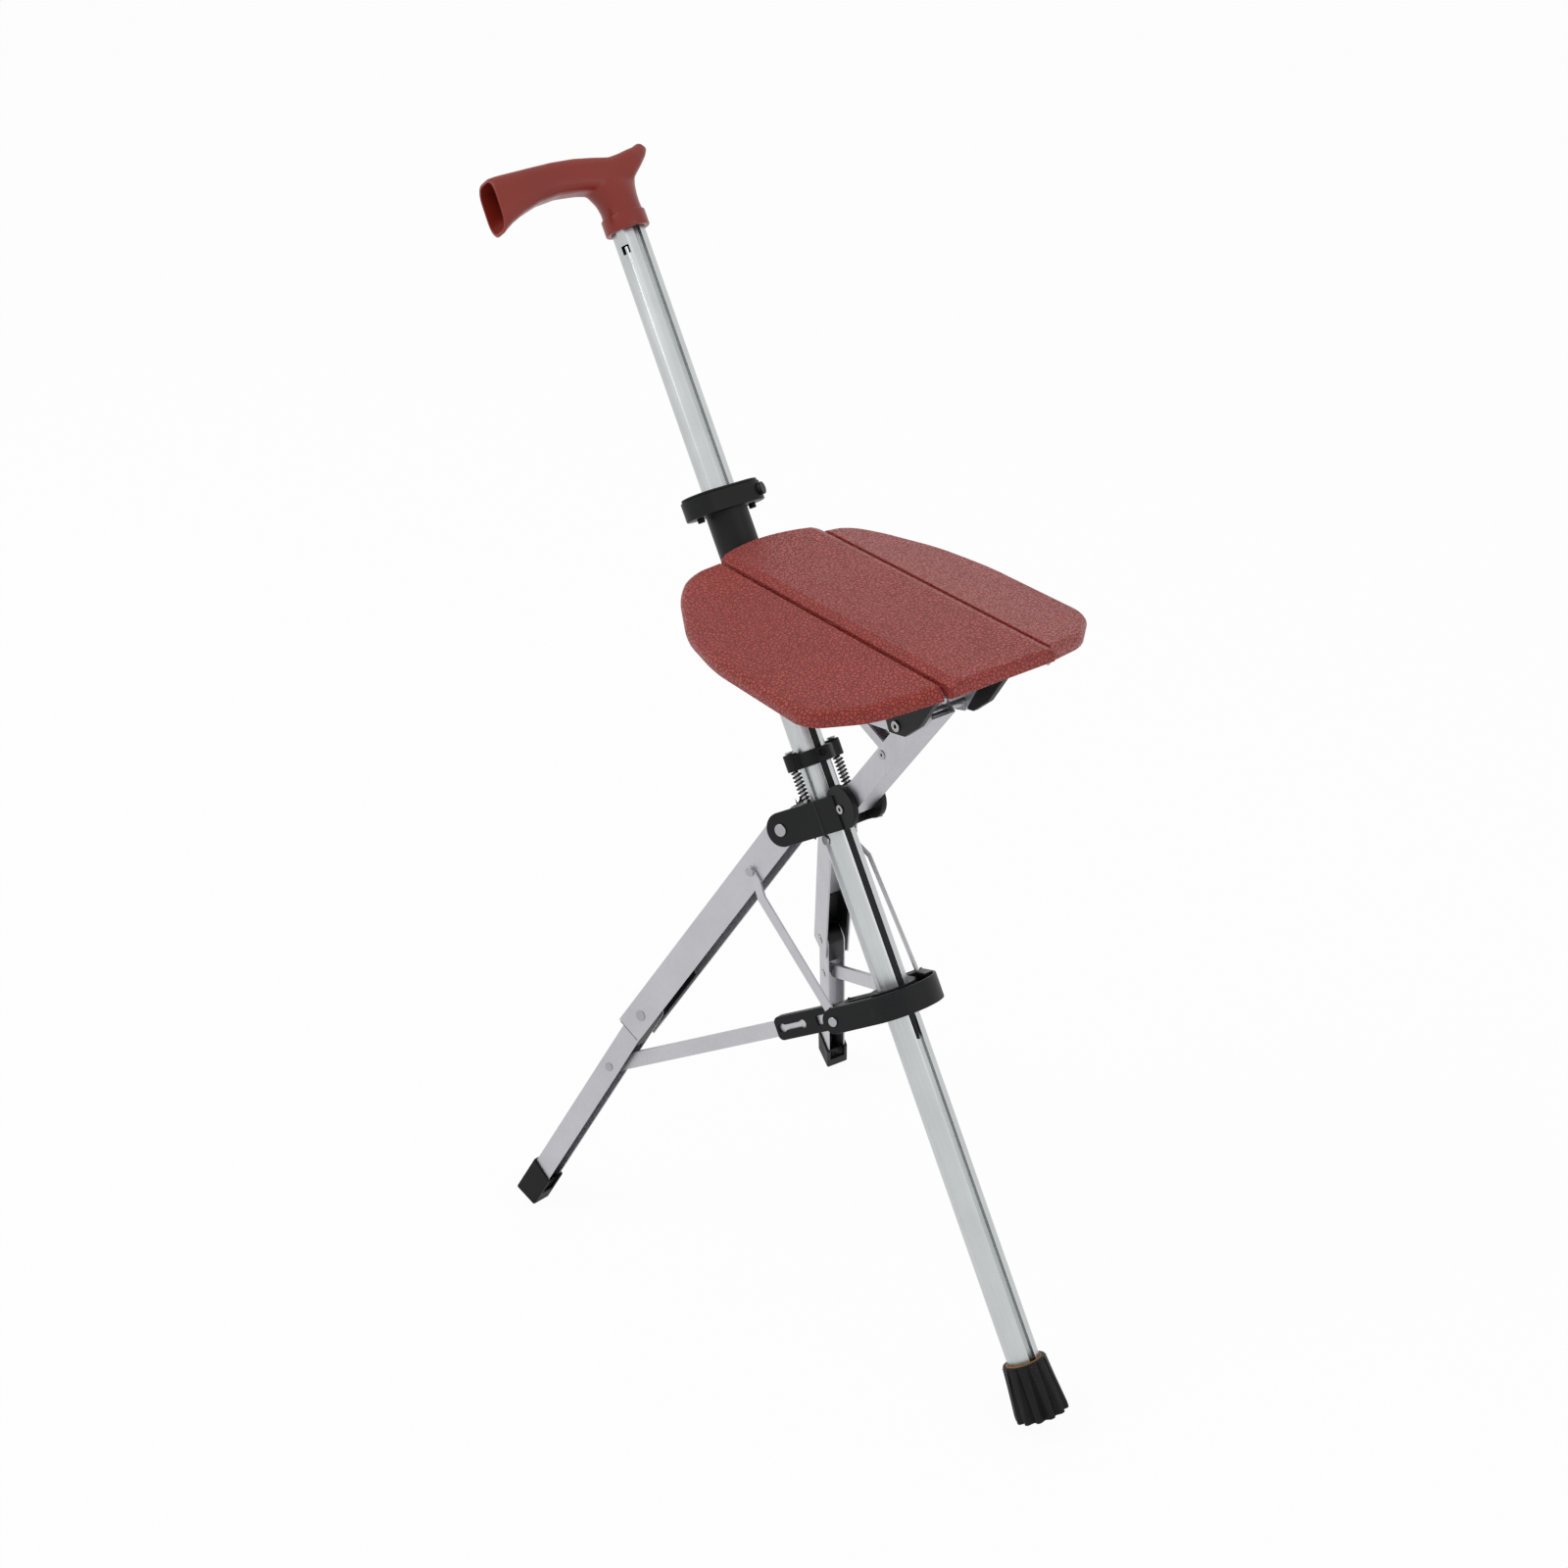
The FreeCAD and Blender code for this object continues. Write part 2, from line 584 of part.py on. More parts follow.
def make_tube():
    body = new_body("stick_tube", STICK)
    radius = S.tube_od / 2
    bore = radius - S.tube_wall
    add_disc(body, (0, 0), radius, "XY_Plane", S.tube_foot, S.tube_top)
    drill(body, (0, 0), bore, "XY_Plane", S.tube_foot, S.tube_top)
    groove_floor = radius - S.groove_depth
    rib_half = S.groove_width / 2 + S.tube_wall
    add(body, oblong(groove_floor - S.tube_wall, bore + S.tube_wall / 2, -rib_half, rib_half),
        "XY_Plane", S.tube_foot, S.tube_top)
    remove(body, oblong(groove_floor, radius + 1, -S.groove_width / 2, S.groove_width / 2),
           "XY_Plane", S.tube_foot, S.tube_top)
    drill(body, (0, S.pivot_height - S.cross_pin_height), S.small_rivet, "XZ_Plane", -radius, radius)
    return body


def make_tube_catch(tube):
    """The square window below the handle, with a tongue of the wall left standing in it."""
    turn = Placement(Vector(), Rotation(UP, -S.catch_turn.value))
    frame = STICK.multiply(turn)
    radius = S.tube_od / 2
    reach = (radius - S.tube_wall - 1, radius + 1)
    half = S.catch_width / 2
    low = S.catch_height - half
    high = S.catch_height + half
    slit = S.catch_width / 6
    beside = block(frame, reach, (-half, -half + S.catch_slot), (low, high))
    above = block(frame, reach, (-half, half), (high - slit, high))
    outside = block(frame, reach, (half - slit, half), (low, high))
    NODES.remove(tube)
    tube.Label = "tube_plain"
    return keep("stick_tube", without(tube, beside, above, outside))


def make_ferrule():
    frame = STICK
    tube_radius = S.tube_od / 2
    band_radius = tube_radius + S.band_wall
    shelf = S.ferrule_height - S.band_height
    body = turned("ferrule_plain", frame, [
        (0, 0), (S.sole_radius, 0), (S.sole_radius, S.ferrule_rim),
        (S.ferrule_top_radius, S.ferrule_height), (band_radius, S.ferrule_height),
        (band_radius, shelf), (tube_radius, shelf), (tube_radius, S.ferrule_floor), (0, S.ferrule_floor)])
    NODES.remove(body)
    flutes = []
    for number in range(int(S.flute_count.value)):
        turn = Placement(Vector(), Rotation(UP, 360.0 * number / S.flute_count.value))
        corner = Placement(Vector(S.sole_radius.value - S.flute_depth.value, 0, -1), Rotation(UP, -45))
        flutes.append(block(frame.multiply(turn).multiply(corner), (0, S.flute_depth * 2),
                            (0, S.flute_depth * 2), (0, S.ferrule_height)))
    keep("ferrule", without(body, *flutes))
    turned("ferrule_band", frame, [(tube_radius, shelf), (band_radius, shelf),
                                   (band_radius, S.ferrule_height + S.band_show),
                                   (tube_radius, S.ferrule_height + S.band_show)])


def ellipse(frame, centre, half_tall, half_wide, normal):
    """An upright ellipse across the y axis, or a level one across the z axis."""
    feature = doc.addObject("Part::Ellipse", "section")
    feature.MajorRadius = max(half_tall.value, half_wide.value + 0.01)
    feature.MinorRadius = half_wide.value
    turns = {"y": Rotation(Vector(0, 0, 1), Vector(1, 0, 0), Vector(0, 1, 0), "ZXY"),
             "z": Rotation(Vector(0, 1, 0), Vector(-1, 0, 0), Vector(0, 0, 1), "ZXY")}
    feature.Placement = frame.multiply(Placement(Vector(*centre), turns[normal]))
    return feature


def loft(sections):
    feature = doc.addObject("Part::Loft", "loft")
    feature.Sections = sections
    feature.Solid = True
    feature.Ruled = False
    return feature


def make_handle():
    """A derby grip across the stick: an open end to the right and a thumb horn to the left."""
    top = S.handle_foot.value + S.grip_rise.value
    tall = S.grip_tall.value
    wide = S.grip_wide
    reach = S.grip_reach.value
    horn = S.horn_reach.value
    stations = [(-reach, -6.5, 1.43), (-0.82 * reach, -1.5, 1.19), (-0.55 * reach, 2.0, 1.02),
                (-0.27 * reach, 1.5, 1.0), (0.0, 0.0, 1.0), (0.33 * horn, -1.0, 1.0),
                (0.68 * horn, 5.0, 0.7), (0.94 * horn, 11.0, 0.42)]
    sections = []
    for place, rise, share in stations:
        half_wide = wide * min(share, 1.0)
        sections.append(ellipse(STICK, (0, place, top + rise), S.grip_tall * share, half_wide, "y"))
    grip = loft(sections)
    foot = S.handle_foot + S.collar_height
    neck = loft([
        ellipse(STICK, (0, 0, foot.value - 1), S.neck_radius, S.neck_radius, "z"),
        ellipse(STICK, (0, -1, foot.value + 0.45 * tall), S.neck_radius, S.grip_wide * 0.96, "z"),
        ellipse(STICK, (0, -5, top - 0.35 * tall), S.neck_radius * 1.45, S.grip_wide * 0.96, "z")])
    collar = rod(STICK, "z", (0, 0), S.collar_radius, S.handle_foot, foot)
    bore = rod(STICK, "z", (0, 0), S.tube_od / 2, S.handle_foot - 1, S.tube_top)
    wall = S.grip_wall
    deep = reach - S.grip_hollow.value
    share = stations[0][2]
    hollow = loft([
        ellipse(STICK, (0, -reach - 1, top + stations[0][1]), S.grip_tall * share - wall, wide - wall, "y"),
        ellipse(STICK, (0, -deep, top), S.grip_tall - wall * 1.5, wide - wall * 1.5, "y")])
    keep("handle", without(joined(grip, neck, collar), bore, hollow))


# Hub


def slab(frame, inner, outer, front, back, height, rounding, low, high):
    """A wall in a leg's plane: straight edges, and a round end about a pivot at (back, height)."""
    body = block(frame, (front, back), (inner, outer), (low, high))
    end = rod(frame, "y", (back, height), rounding, inner, outer)
    return joined(body, end)


def layers(side, inner, outer):
    """The y range of a layer of a leg plane's frame, given outwards from the leg's middle."""
    inner, outer = as_size(inner), as_size(outer)
    return (inner, outer) if side < 0 else (-outer, -inner)


def make_hub():
    low = S.pivot_height - S.hub_round
    high = S.pivot_height + S.hub_round
    slot = S.upper_width / 2 + S.apart
    outer = slot + S.hub_wall
    clear = S.upper_back + S.apart
    pieces, tools = [], []
    for side in SIDES.values():
        frame = in_leg_plane(side, 0, 0, 0)
        start, end = layers(side, -S.leg_offset - S.hub_core_radius * 0.9, outer)
        pieces.append(slab(frame, start, end, -S.hub_front, S.pivot_radius, S.pivot_height,
                           S.hub_round, low, high))
        start, end = layers(side, -slot, slot)
        tools.append(block(frame, (S.pivot_radius - clear, S.pivot_radius * 3), (start, end),
                           (low - 1, high + 1)))
        start, end = layers(side, -slot - S.rivet_root, outer)
        tools.append(rod(frame, "y", (S.pivot_radius, S.pivot_height), S.rivet_radius, start, end))
    ear_half = S.strut_width / 2 + S.apart
    ear_outer = ear_half + S.ear_wall
    ear_centre = STRUT_PIVOT_HEIGHT + S.ear_rise
    pieces.append(rod(STICK, "z", (0, 0), S.hub_core_radius, low, high))
    pieces.append(rod(STICK, "y", (S.strut_pivot_front, ear_centre), S.hub_ear, -ear_outer, ear_outer))
    pieces.append(block(STICK, (0, S.strut_pivot_front), (-ear_outer, ear_outer), (low, high)))
    tools.append(block(STICK, (S.strut_pivot_front - S.strut_back - S.apart * 2, S.strut_pivot_front * 2),
                       (-ear_half, ear_half), (low - S.hub_ear, high + S.hub_ear)))
    tools.append(rod(STICK, "z", (0, 0), S.tube_od / 2, low - 1, high + 1))
    tools.append(rod(STICK, "y", (S.strut_pivot_front, STRUT_PIVOT_HEIGHT), S.pin_radius,
                     -ear_outer - 1, ear_outer + 1))
    for face in (-ear_outer - S.hub_wall, ear_outer):
        tools.append(rod(STICK, "y", (S.strut_pivot_front, STRUT_PIVOT_HEIGHT),
                         S.strut_head + S.apart, face, face + S.hub_wall))
    for half in (-1, 1):
        tools.append(rod(STICK, "z", (S.spring_front, S.spring_side * half), S.rod_radius,
                         high - S.rod_root, high + 1))
    keep("hub", without(joined(*pieces), *tools))
    return ear_outer


def make_hub_pins(ear_outer):
    slot = S.upper_width / 2 + S.apart
    outer = slot + S.hub_wall
    rivets = []
    for side in SIDES.values():
        frame = in_leg_plane(side, S.pivot_radius.value, S.pivot_height.value, 0)
        shank = rod(frame, "y", (0, 0), S.rivet_radius, *layers(side, -slot - S.rivet_root, outer))
        head = rod(frame, "y", (0, 0), S.rivet_head, *layers(side, outer, outer + S.head_rise))
        rivets.append(joined(shank, head))
    keep("leg_pivot_rivets", group(*rivets))
    centre = (S.strut_pivot_front, STRUT_PIVOT_HEIGHT)
    whole = joined(rod(STICK, "y", centre, S.pin_radius, -ear_outer, ear_outer),
                   rod(STICK, "y", centre, S.strut_head, -ear_outer - S.head_rise, -ear_outer),
                   rod(STICK, "y", centre, S.strut_head, ear_outer, ear_outer + S.head_rise))
    hole = rod(STICK, "y", centre, S.pin_radius * S.hollow_share, -ear_outer * 2, ear_outer * 2)
    keep("strut_pivot_pin", without(whole, hole))
    tube_radius = S.tube_od / 2
    centre = (0, S.pivot_height - S.cross_pin_height)
    keep("hub_cross_pin", joined(
        rod(STICK, "y", centre, S.small_rivet, -tube_radius, tube_radius),
        rod(STICK, "y", centre, S.pin_head, -tube_radius - S.head_rise, -tube_radius),
        rod(STICK, "y", centre, S.pin_head, tube_radius, tube_radius + S.head_rise)))
    hub_top = S.pivot_height + S.hub_round
    collar_top = RELEASE_BOTTOM + S.release_height
    rods = []
    for half in (-1, 1):
        centre = (S.spring_front, S.spring_side * half)
        rods.append(joined(
            rod(STICK, "z", centre, S.rod_radius, hub_top - S.rod_root, collar_top + S.apart),
            rod(STICK, "z", centre, S.rod_head, collar_top + S.apart, collar_top + S.apart + S.head_rise)))
    keep("spring_rods", group(*rods))


def make_springs():
    low = S.pivot_height + S.hub_round + S.spring_wire / 2
    high = RELEASE_BOTTOM - S.spring_wire / 2
    for name, side in SIDES.items():
        place = Vector(S.spring_front.value, S.spring_side.value * side, low.value)
        frame = STICK.multiply(Placement(place, Rotation()))
        helix = doc.addObject("Part::Helix", "coil_path")
        bind(helix, "Height", high - low)
        bind(helix, "Pitch", (high - low) / S.spring_turns)
        bind(helix, "Radius", S.spring_radius - S.spring_wire / 2)
        helix.Placement = frame
        wire = doc.addObject("Part::Circle", "coil_section")
        bind(wire, "Radius", S.spring_wire / 2)
        start = Vector(S.spring_radius.value - S.spring_wire.value / 2, 0, 0)
        wire.Placement = frame.multiply(Placement(start, Rotation(Vector(1, 0, 0), 90)))
        coil = doc.addObject("Part::Sweep", "coil")
        coil.Sections = [wire]
        coil.Spine = helix
        coil.Solid = True
        coil.Frenet = True
        keep("release_spring_" + name, coil)


# Spring collar and strip


def make_release():
    tube_radius = S.tube_od / 2
    groove_floor = tube_radius - S.groove_depth
    low = RELEASE_BOTTOM
    high = low + S.release_height
    outer = tube_radius + S.release_wall
    lug = S.release_half - S.spring_side
    ends = []
    tools = [rod(STICK, "z", (0, 0), tube_radius + S.running, low - 1, high + 1)]
    for half in (-1, 1):
        centre = (S.spring_front, S.spring_side * half)
        ends.append(rod(STICK, "z", centre, lug, low, high))
        tools.append(rod(STICK, "z", centre, S.rod_radius + S.running, low - 1, high + 1))
    bar = block(STICK, (S.spring_front - lug, S.spring_front + lug), (-S.spring_side, S.spring_side),
                (low, high - S.release_step))
    collar = rod(STICK, "z", (0, 0), outer, low, high - S.release_step)
    screw_height = low + S.release_height / 2
    strip_face = groove_floor + S.running + S.strip_gauge
    tools.append(rod(STICK, "x", (0, screw_height), S.screw_radius, tube_radius, outer + 1))
    tools.append(block(STICK, (outer - S.screw_seat, outer + 1), (-outer, outer), (low - 1, high + 1)))
    keep("spring_collar", without(joined(collar, bar, *ends), *tools))
    face = outer - S.screw_seat
    keep("collar_screw", joined(
        rod(STICK, "x", (0, screw_height), S.screw_radius, strip_face - S.strip_gauge / 2, face),
        rod(STICK, "x", (0, screw_height), S.screw_head, face, face + S.head_rise)))
    body = new_body("strip_plain", STICK)
    half = S.groove_width / 2 - S.apart
    point = S.strip_tip + S.strip_taper
    add(body, [(half, point), (half, S.strip_top), (-half, S.strip_top), (-half, point), (0, S.strip_tip)],
        "YZ_Plane", groove_floor + S.running, strip_face)
    drill(body, (0, screw_height), S.screw_radius, "YZ_Plane", strip_face - S.strip_gauge / 2, strip_face)
    body.Label = "release_strip"


# Sleeve and upper collar


def flange(low, high, half, rounding, inset=0.0):
    """A rounded plate about the stick: a round middle and two round ends."""
    ends = []
    centre = half - rounding
    for sign in (-1, 1):
        ends.append(rod(STICK, "z", (0, centre * sign), rounding - inset, low, high))
    middle = block(STICK, (-rounding + inset, rounding - inset), (-centre, centre), (low, high))
    return joined(middle, *ends)


def make_slide_collar():
    tube_radius = S.tube_od / 2
    low = S.flange_bottom
    high = low + S.flange_height
    whole = flange(low, high, S.flange_half, S.flange_round)
    sleeve = rod(STICK, "z", (0, 0), S.sleeve_radius, S.sleeve_bottom, low)
    seat_pivot = to_stick(SEAT.multVec(Vector(S.seat_pivot_x.value, 0, -S.seat_pivot_drop.value)))
    ear = rod(STICK, "y", (seat_pivot.x, seat_pivot.z), S.ear_round, -S.ear_half, S.ear_half)
    arm = block(STICK, (tube_radius, seat_pivot.x), (-S.ear_half, S.ear_half),
                (seat_pivot.z - S.ear_round.value, seat_pivot.z + S.ear_round.value))
    stay_rib = block(STICK, (tube_radius, S.rib_front), (-S.rib_half, S.rib_half),
                     (S.sleeve_bottom, seat_pivot.z))
    tools = [rod(STICK, "z", (0, 0), tube_radius + S.running, S.sleeve_bottom - 1, high + 1),
             rod(STICK, "y", (seat_pivot.x, seat_pivot.z), S.pin_radius + S.running,
                 -S.ear_half - 1, S.ear_half + 1)]
    for half in (-1, 1):
        tools.append(rod(STICK, "z", (0, S.flange_screw * half), S.screw_radius, low - 1, high + 1))
    keep("slide_collar", without(joined(whole, sleeve, ear, arm, stay_rib), *tools))
    plate = flange(high, high + S.plate_gauge, S.flange_half, S.flange_round, S.plate_inset)
    bores = [rod(STICK, "z", (0, 0), tube_radius + S.running, high - 1, high + S.plate_gauge + 1)]
    keep("collar_plate", without(plate, *bores))
    screws = []
    for half in (-1, 1):
        centre = (0, S.flange_screw * half)
        screws.append(joined(rod(STICK, "z", centre, S.screw_radius, low, high),
                             rod(STICK, "z", centre, S.screw_head, low - S.screw_drop, low)))
    keep("collar_screws", group(*screws))
    knob_height = low + S.flange_height / 2
    knob_place = Placement(Vector(0, S.flange_half.value - S.flange_round.value, 0), Rotation())
    knob_turn = Placement(Vector(), Rotation(UP, S.knob_turn.value))
    frame = STICK.multiply(knob_place).multiply(knob_turn)
    reach = S.flange_round
    keep("collar_knob", without(
        rod(frame, "x", (0, knob_height), S.knob_radius, reach - 1, reach + S.knob_reach),
        rod(STICK, "z", (0, (S.flange_half - S.flange_round)), S.flange_round, low, high)))


def to_stick(point):
    return STICK.inverse().multVec(point)


# Seat


def hinge_spans(first_shift):
    """Where the knuckles of a wing hinge lie along the seat."""
    length = S.seat_length
    step = S.knuckle_length + S.apart
    starts = [S.knuckle_inset, length / 2, length - S.knuckle_inset - S.knuckle_length * 2 - S.apart]
    return [(start + step * first_shift, start + step * first_shift + S.knuckle_length) for start in starts]


def make_middle_panel():
    body = new_body("seat_middle_panel", SEAT)
    half = S.middle_half
    length = S.seat_length
    gauge = S.middle_gauge
    add(body, [(0, -half, (-S.seat_bow, 0)), (length, -half), (length, half), (0, half)],
        "XY_Plane", -gauge, 0)
    # bevels along the hinge grooves
    for sign in (-1, 1):
        edge = half * sign
        bevel = half * sign - S.bevel_width * sign
        far = half * sign + 1.0 * sign
        remove(body, [(bevel, 0), (edge, -S.bevel_drop), (far, -S.bevel_drop), (far, 1), (bevel, 1)],
               "YZ_Plane", -S.seat_bow - 1, length + 1)
    # slope under the front end
    remove(body, [(length + 1, -gauge - 1), (length + 1, -S.front_lip), (length, -S.front_lip),
                  (length - S.front_slope, -gauge), (length - S.front_slope, -gauge - 1)],
           "XZ_Plane", -half - 1, half + 1)
    ease_edges(body, "Fillet", S.edge_round, is_back_edge)
    ease_edges(body, "Fillet", S.front_round, lambda edge: is_front_edge(edge, S.seat_length.value))
    # hollow underside with ribs
    skin = S.panel_skin
    low, high = -gauge, -skin - S.bevel_drop
    pitch = (length - skin * 2) / S.cell_count
    for column in range(int(S.cell_count.value)):
        start = skin * 2 + pitch * column
        end = skin * 2 + pitch * (column + 1) - skin
        for sign in (-1, 1):
            inner = skin / 2 * sign
            outer = (half - S.bevel_width - skin) * sign
            pair = (inner, outer) if sign > 0 else (outer, inner)
            remove(body, oblong(start, end, *pair), "XY_Plane", low, high)
    # hinge knuckles, in a groove that clears the pin
    for sign in (-1, 1):
        hinge = S.wing_side * sign
        drill(body, (hinge, -S.wing_drop), S.wing_pin + S.apart, "YZ_Plane", 0, length)
        web = half * sign - S.knuckle_radius * 2 * sign
        for start, end in hinge_spans(0):
            add_disc(body, (hinge, -S.wing_drop), S.knuckle_radius, "YZ_Plane", start, end)
            pair = (web, hinge) if sign > 0 else (hinge, web)
            add(body, oblong(*pair, -S.wing_drop - S.knuckle_radius, -gauge + skin), "YZ_Plane", start, end)
            drill(body, (hinge, -S.wing_drop), S.wing_pin, "YZ_Plane", start, end)
        for start, end in hinge_spans(1):
            far = hinge + sign * 1.0
            near = hinge - (S.knuckle_radius + S.apart) * sign
            pair = (near, far) if sign > 0 else (far, near)
            remove(body, oblong(start - S.apart, end + S.apart, *pair), "XY_Plane",
                   -gauge - S.knuckle_radius, -S.wing_drop + S.knuckle_radius + S.apart)
    # lugs of the seat's back hinge
    pivot = (S.seat_pivot_x, -S.seat_pivot_drop)
    for sign in (-1, 1):
        inner = (S.ear_half + S.apart) * sign
        outer = (S.ear_half + S.apart + S.lug_gauge) * sign
        pair = (inner, outer) if sign > 0 else (outer, inner)
        add_disc(body, pivot, S.ear_round, "XZ_Plane", *pair)
        add(body, oblong(S.seat_pivot_x - S.ear_round, S.seat_pivot_x + S.ear_round,
                         -S.seat_pivot_drop, -gauge + skin), "XZ_Plane", *pair)
        drill(body, pivot, S.pin_radius, "XZ_Plane", *pair)
    return body


def is_top_edge(edge):
    """Level edges across the middle panel's top."""
    box = edge.BoundBox
    level = box.ZMax - box.ZMin < 0.01 and box.ZMax > -0.01
    return level and box.YMax - box.YMin > 10


def is_back_edge(edge):
    return is_top_edge(edge) and edge.BoundBox.XMax < 0.01


def is_front_edge(edge, length):
    return is_top_edge(edge) and edge.BoundBox.XMin > length - 0.01


def wing_frame(side):
    hinge = Placement(Vector(0, S.wing_side.value * side, -S.wing_drop.value), Rotation())
    droop = Placement(Vector(), Rotation(Vector(1, 0, 0), -S.wing_droop.value * side))
    return SEAT.multiply(hinge).multiply(droop)


# Wing's outline: shares of its length from the back, and of its width from the hinge line
WING_STATIONS = ((-0.018, 0.29), (0.045, 0.54), (0.216, 0.86), (0.396, 0.985), (0.793, 1.0), (0.91, 0.58))
# Hollows under a wing: their start and end along it, and how far out they reach
WING_CELLS = ((0.10, 0.30, 0.62), (0.32, 0.50, 0.84), (0.52, 0.66, 0.86), (0.68, 0.80, 0.62))


def make_wing(name, side):
    body = new_body("seat_wing_" + name, wing_frame(side))
    length = S.seat_length
    reach = S.wing_reach
    inner = S.wing_gap
    corners = [(0, inner * side)]
    for along, out in WING_STATIONS:
        corners.append((length * along, (inner + (reach - inner) * out) * side))
    corners.append((length - S.wing_nose, inner * side))
    top = S.wing_drop - S.bevel_drop
    low = top - S.wing_gauge
    add(body, corners, "XY_Plane", low, top)
    ease_edges(body, "Fillet", S.wing_corner, lambda edge: is_outer_corner(edge, S.knuckle_radius.value))
    ease_edges(body, "Fillet", S.edge_round, lambda edge: is_rim(edge, top.value))
    skin = S.panel_skin
    for start, end, share in WING_CELLS:
        pair = ((S.knuckle_radius * 2) * side, (reach * share) * side)
        pair = pair if side > 0 else (pair[1], pair[0])
        remove(body, oblong(length * start, length * end, *pair), "XY_Plane", low - 1, top - skin)
    drill(body, (0, 0), S.wing_pin + S.apart, "YZ_Plane", 0, length)
    for start, end in hinge_spans(1):
        add_disc(body, (0, 0), S.knuckle_radius, "YZ_Plane", start, end)
        pair = (0, S.knuckle_radius * 2 * side)
        pair = pair if side > 0 else (pair[1], pair[0])
        add(body, oblong(*pair, -S.knuckle_radius, low + skin), "YZ_Plane", start, end)
        drill(body, (0, 0), S.wing_pin + S.running, "YZ_Plane", start, end)
    for start, end in hinge_spans(0):
        pair = (-1.0 * side, (S.knuckle_radius + S.apart) * side)
        pair = pair if side > 0 else (pair[1], pair[0])
        remove(body, oblong(start - S.apart, end + S.apart, *pair), "XY_Plane",
               -S.knuckle_radius - S.apart, S.knuckle_radius + S.apart)


def is_outer_corner(edge, beyond):
    """Upright edges round a wing's outer side."""
    box = edge.BoundBox
    upright = box.XMax - box.XMin < 0.01 and box.YMax - box.YMin < 0.01
    return upright and min(abs(box.YMin), abs(box.YMax)) > beyond


def is_rim(edge, top):
    """Top edges round a wing, without its straight edge at the hinge."""
    box = edge.BoundBox
    level = box.ZMax - box.ZMin < 0.01 and abs(box.ZMax - top) < 0.01
    at_hinge = box.YMax - box.YMin < 0.01
    return level and not at_hinge


def make_seat_metal():
    """Rail, block and pins under the seat's middle panel."""
    under = -S.middle_gauge
    gauge = S.rail_gauge
    half = S.block_half - S.cheek_wall - S.apart / 2
    body = new_body("seat_rail", SEAT)
    drop = S.block_drop
    end = S.seat_length - S.rail_end
    profile = [(S.rail_start, under), (S.rail_start, under - gauge * 4),
               (BLOCK_X - S.rail_tail, -drop - S.rail_dip),
               (BLOCK_X - S.cheek_back * 1.3, -drop - S.cheek_dip * 1.45),
               (BLOCK_X + S.cheek_back * 0.2, -drop - S.cheek_dip * 0.8),
               (end, under - gauge * 4), (end, under)]
    add(body, profile, "XZ_Plane", -half, half)
    remove(body, oblong(S.rail_start - 1, end + 1, under - drop * 2, under - gauge), "XZ_Plane",
           -half + gauge, half - gauge)
    screw_places = [(x, y) for x in (S.rail_start + S.rail_screw, end - S.rail_screw)
                    for y in (-half / 2, half / 2)]
    for x, y in screw_places:
        drill(body, (x, y), S.screw_radius, "XY_Plane", under - gauge, under)
    drill(body, (BLOCK_X, -drop), S.pin_radius, "XZ_Plane", -half, half)
    cheek = new_body("cheeks_plain", SEAT)
    NODES.remove(cheek)
    top = under
    face = S.block_half
    corners = [(BLOCK_X - S.cheek_back, top), (BLOCK_X - S.cheek_back, -drop),
               (BLOCK_X - S.cheek_back * 0.65, -drop - S.cheek_dip),
               (BLOCK_X + S.cheek_back * 0.72, -drop - S.cheek_dip * 0.6),
               (BLOCK_X + S.cheek_front * 0.48, -drop + S.cheek_dip),
               (BLOCK_X + S.cheek_front, top)]
    add(cheek, corners, "XZ_Plane", -face, face)
    inner = half + S.apart / 2
    behind = BLOCK_X - S.cheek_back - 1
    ahead = BLOCK_X + S.cheek_front + 1
    remove(cheek, oblong(behind, end + S.apart, under - drop * 2, top), "XZ_Plane", -inner, inner)
    remove(cheek, oblong(behind, ahead, under - drop * 2, top - S.cheek_bridge), "XZ_Plane", -inner, inner)
    drill(cheek, (BLOCK_X, -drop), S.pin_radius, "XZ_Plane", -face, face)
    keep("seat_block", cheek)
    rivets = []
    for sign in (-1, 1):
        low, high = ((-face, -half + gauge) if sign < 0 else (half - gauge, face))
        shank = rod(SEAT, "y", (BLOCK_X, -drop), S.pin_radius, low, high)
        low, high = ((-face - S.head_rise, -face) if sign < 0 else (face, face + S.head_rise))
        head = rod(SEAT, "y", (BLOCK_X, -drop), S.pin_head, low, high)
        bore = rod(SEAT, "y", (BLOCK_X, -drop), S.pin_radius * S.hollow_share, -face * 2, face * 2)
        rivets.append(without(joined(shank, head), bore))
    keep("block_rivets", group(*rivets))
    screws = []
    for x, y in screw_places:
        screws.append(joined(rod(SEAT, "z", (x, y), S.screw_radius, under - gauge, under),
                             rod(SEAT, "z", (x, y), S.screw_head, under - gauge - S.head_rise,
                                 under - gauge)))
    keep("rail_screws", group(*screws))
    pins = []
    for sign in (-1, 1):
        spans = hinge_spans(0), hinge_spans(1)
        pins.append(rod(SEAT, "x", (S.wing_side * sign, -S.wing_drop), S.wing_pin,
                        spans[0][0][0], spans[1][2][1]))
    keep("wing_hinge_pins", group(*pins))
    reach = S.ear_half + S.apart + S.lug_gauge
    keep("seat_hinge_pin", rod(SEAT, "y", (S.seat_pivot_x, -S.seat_pivot_drop), S.pin_radius,
                               -reach, reach))


# Strut and stay


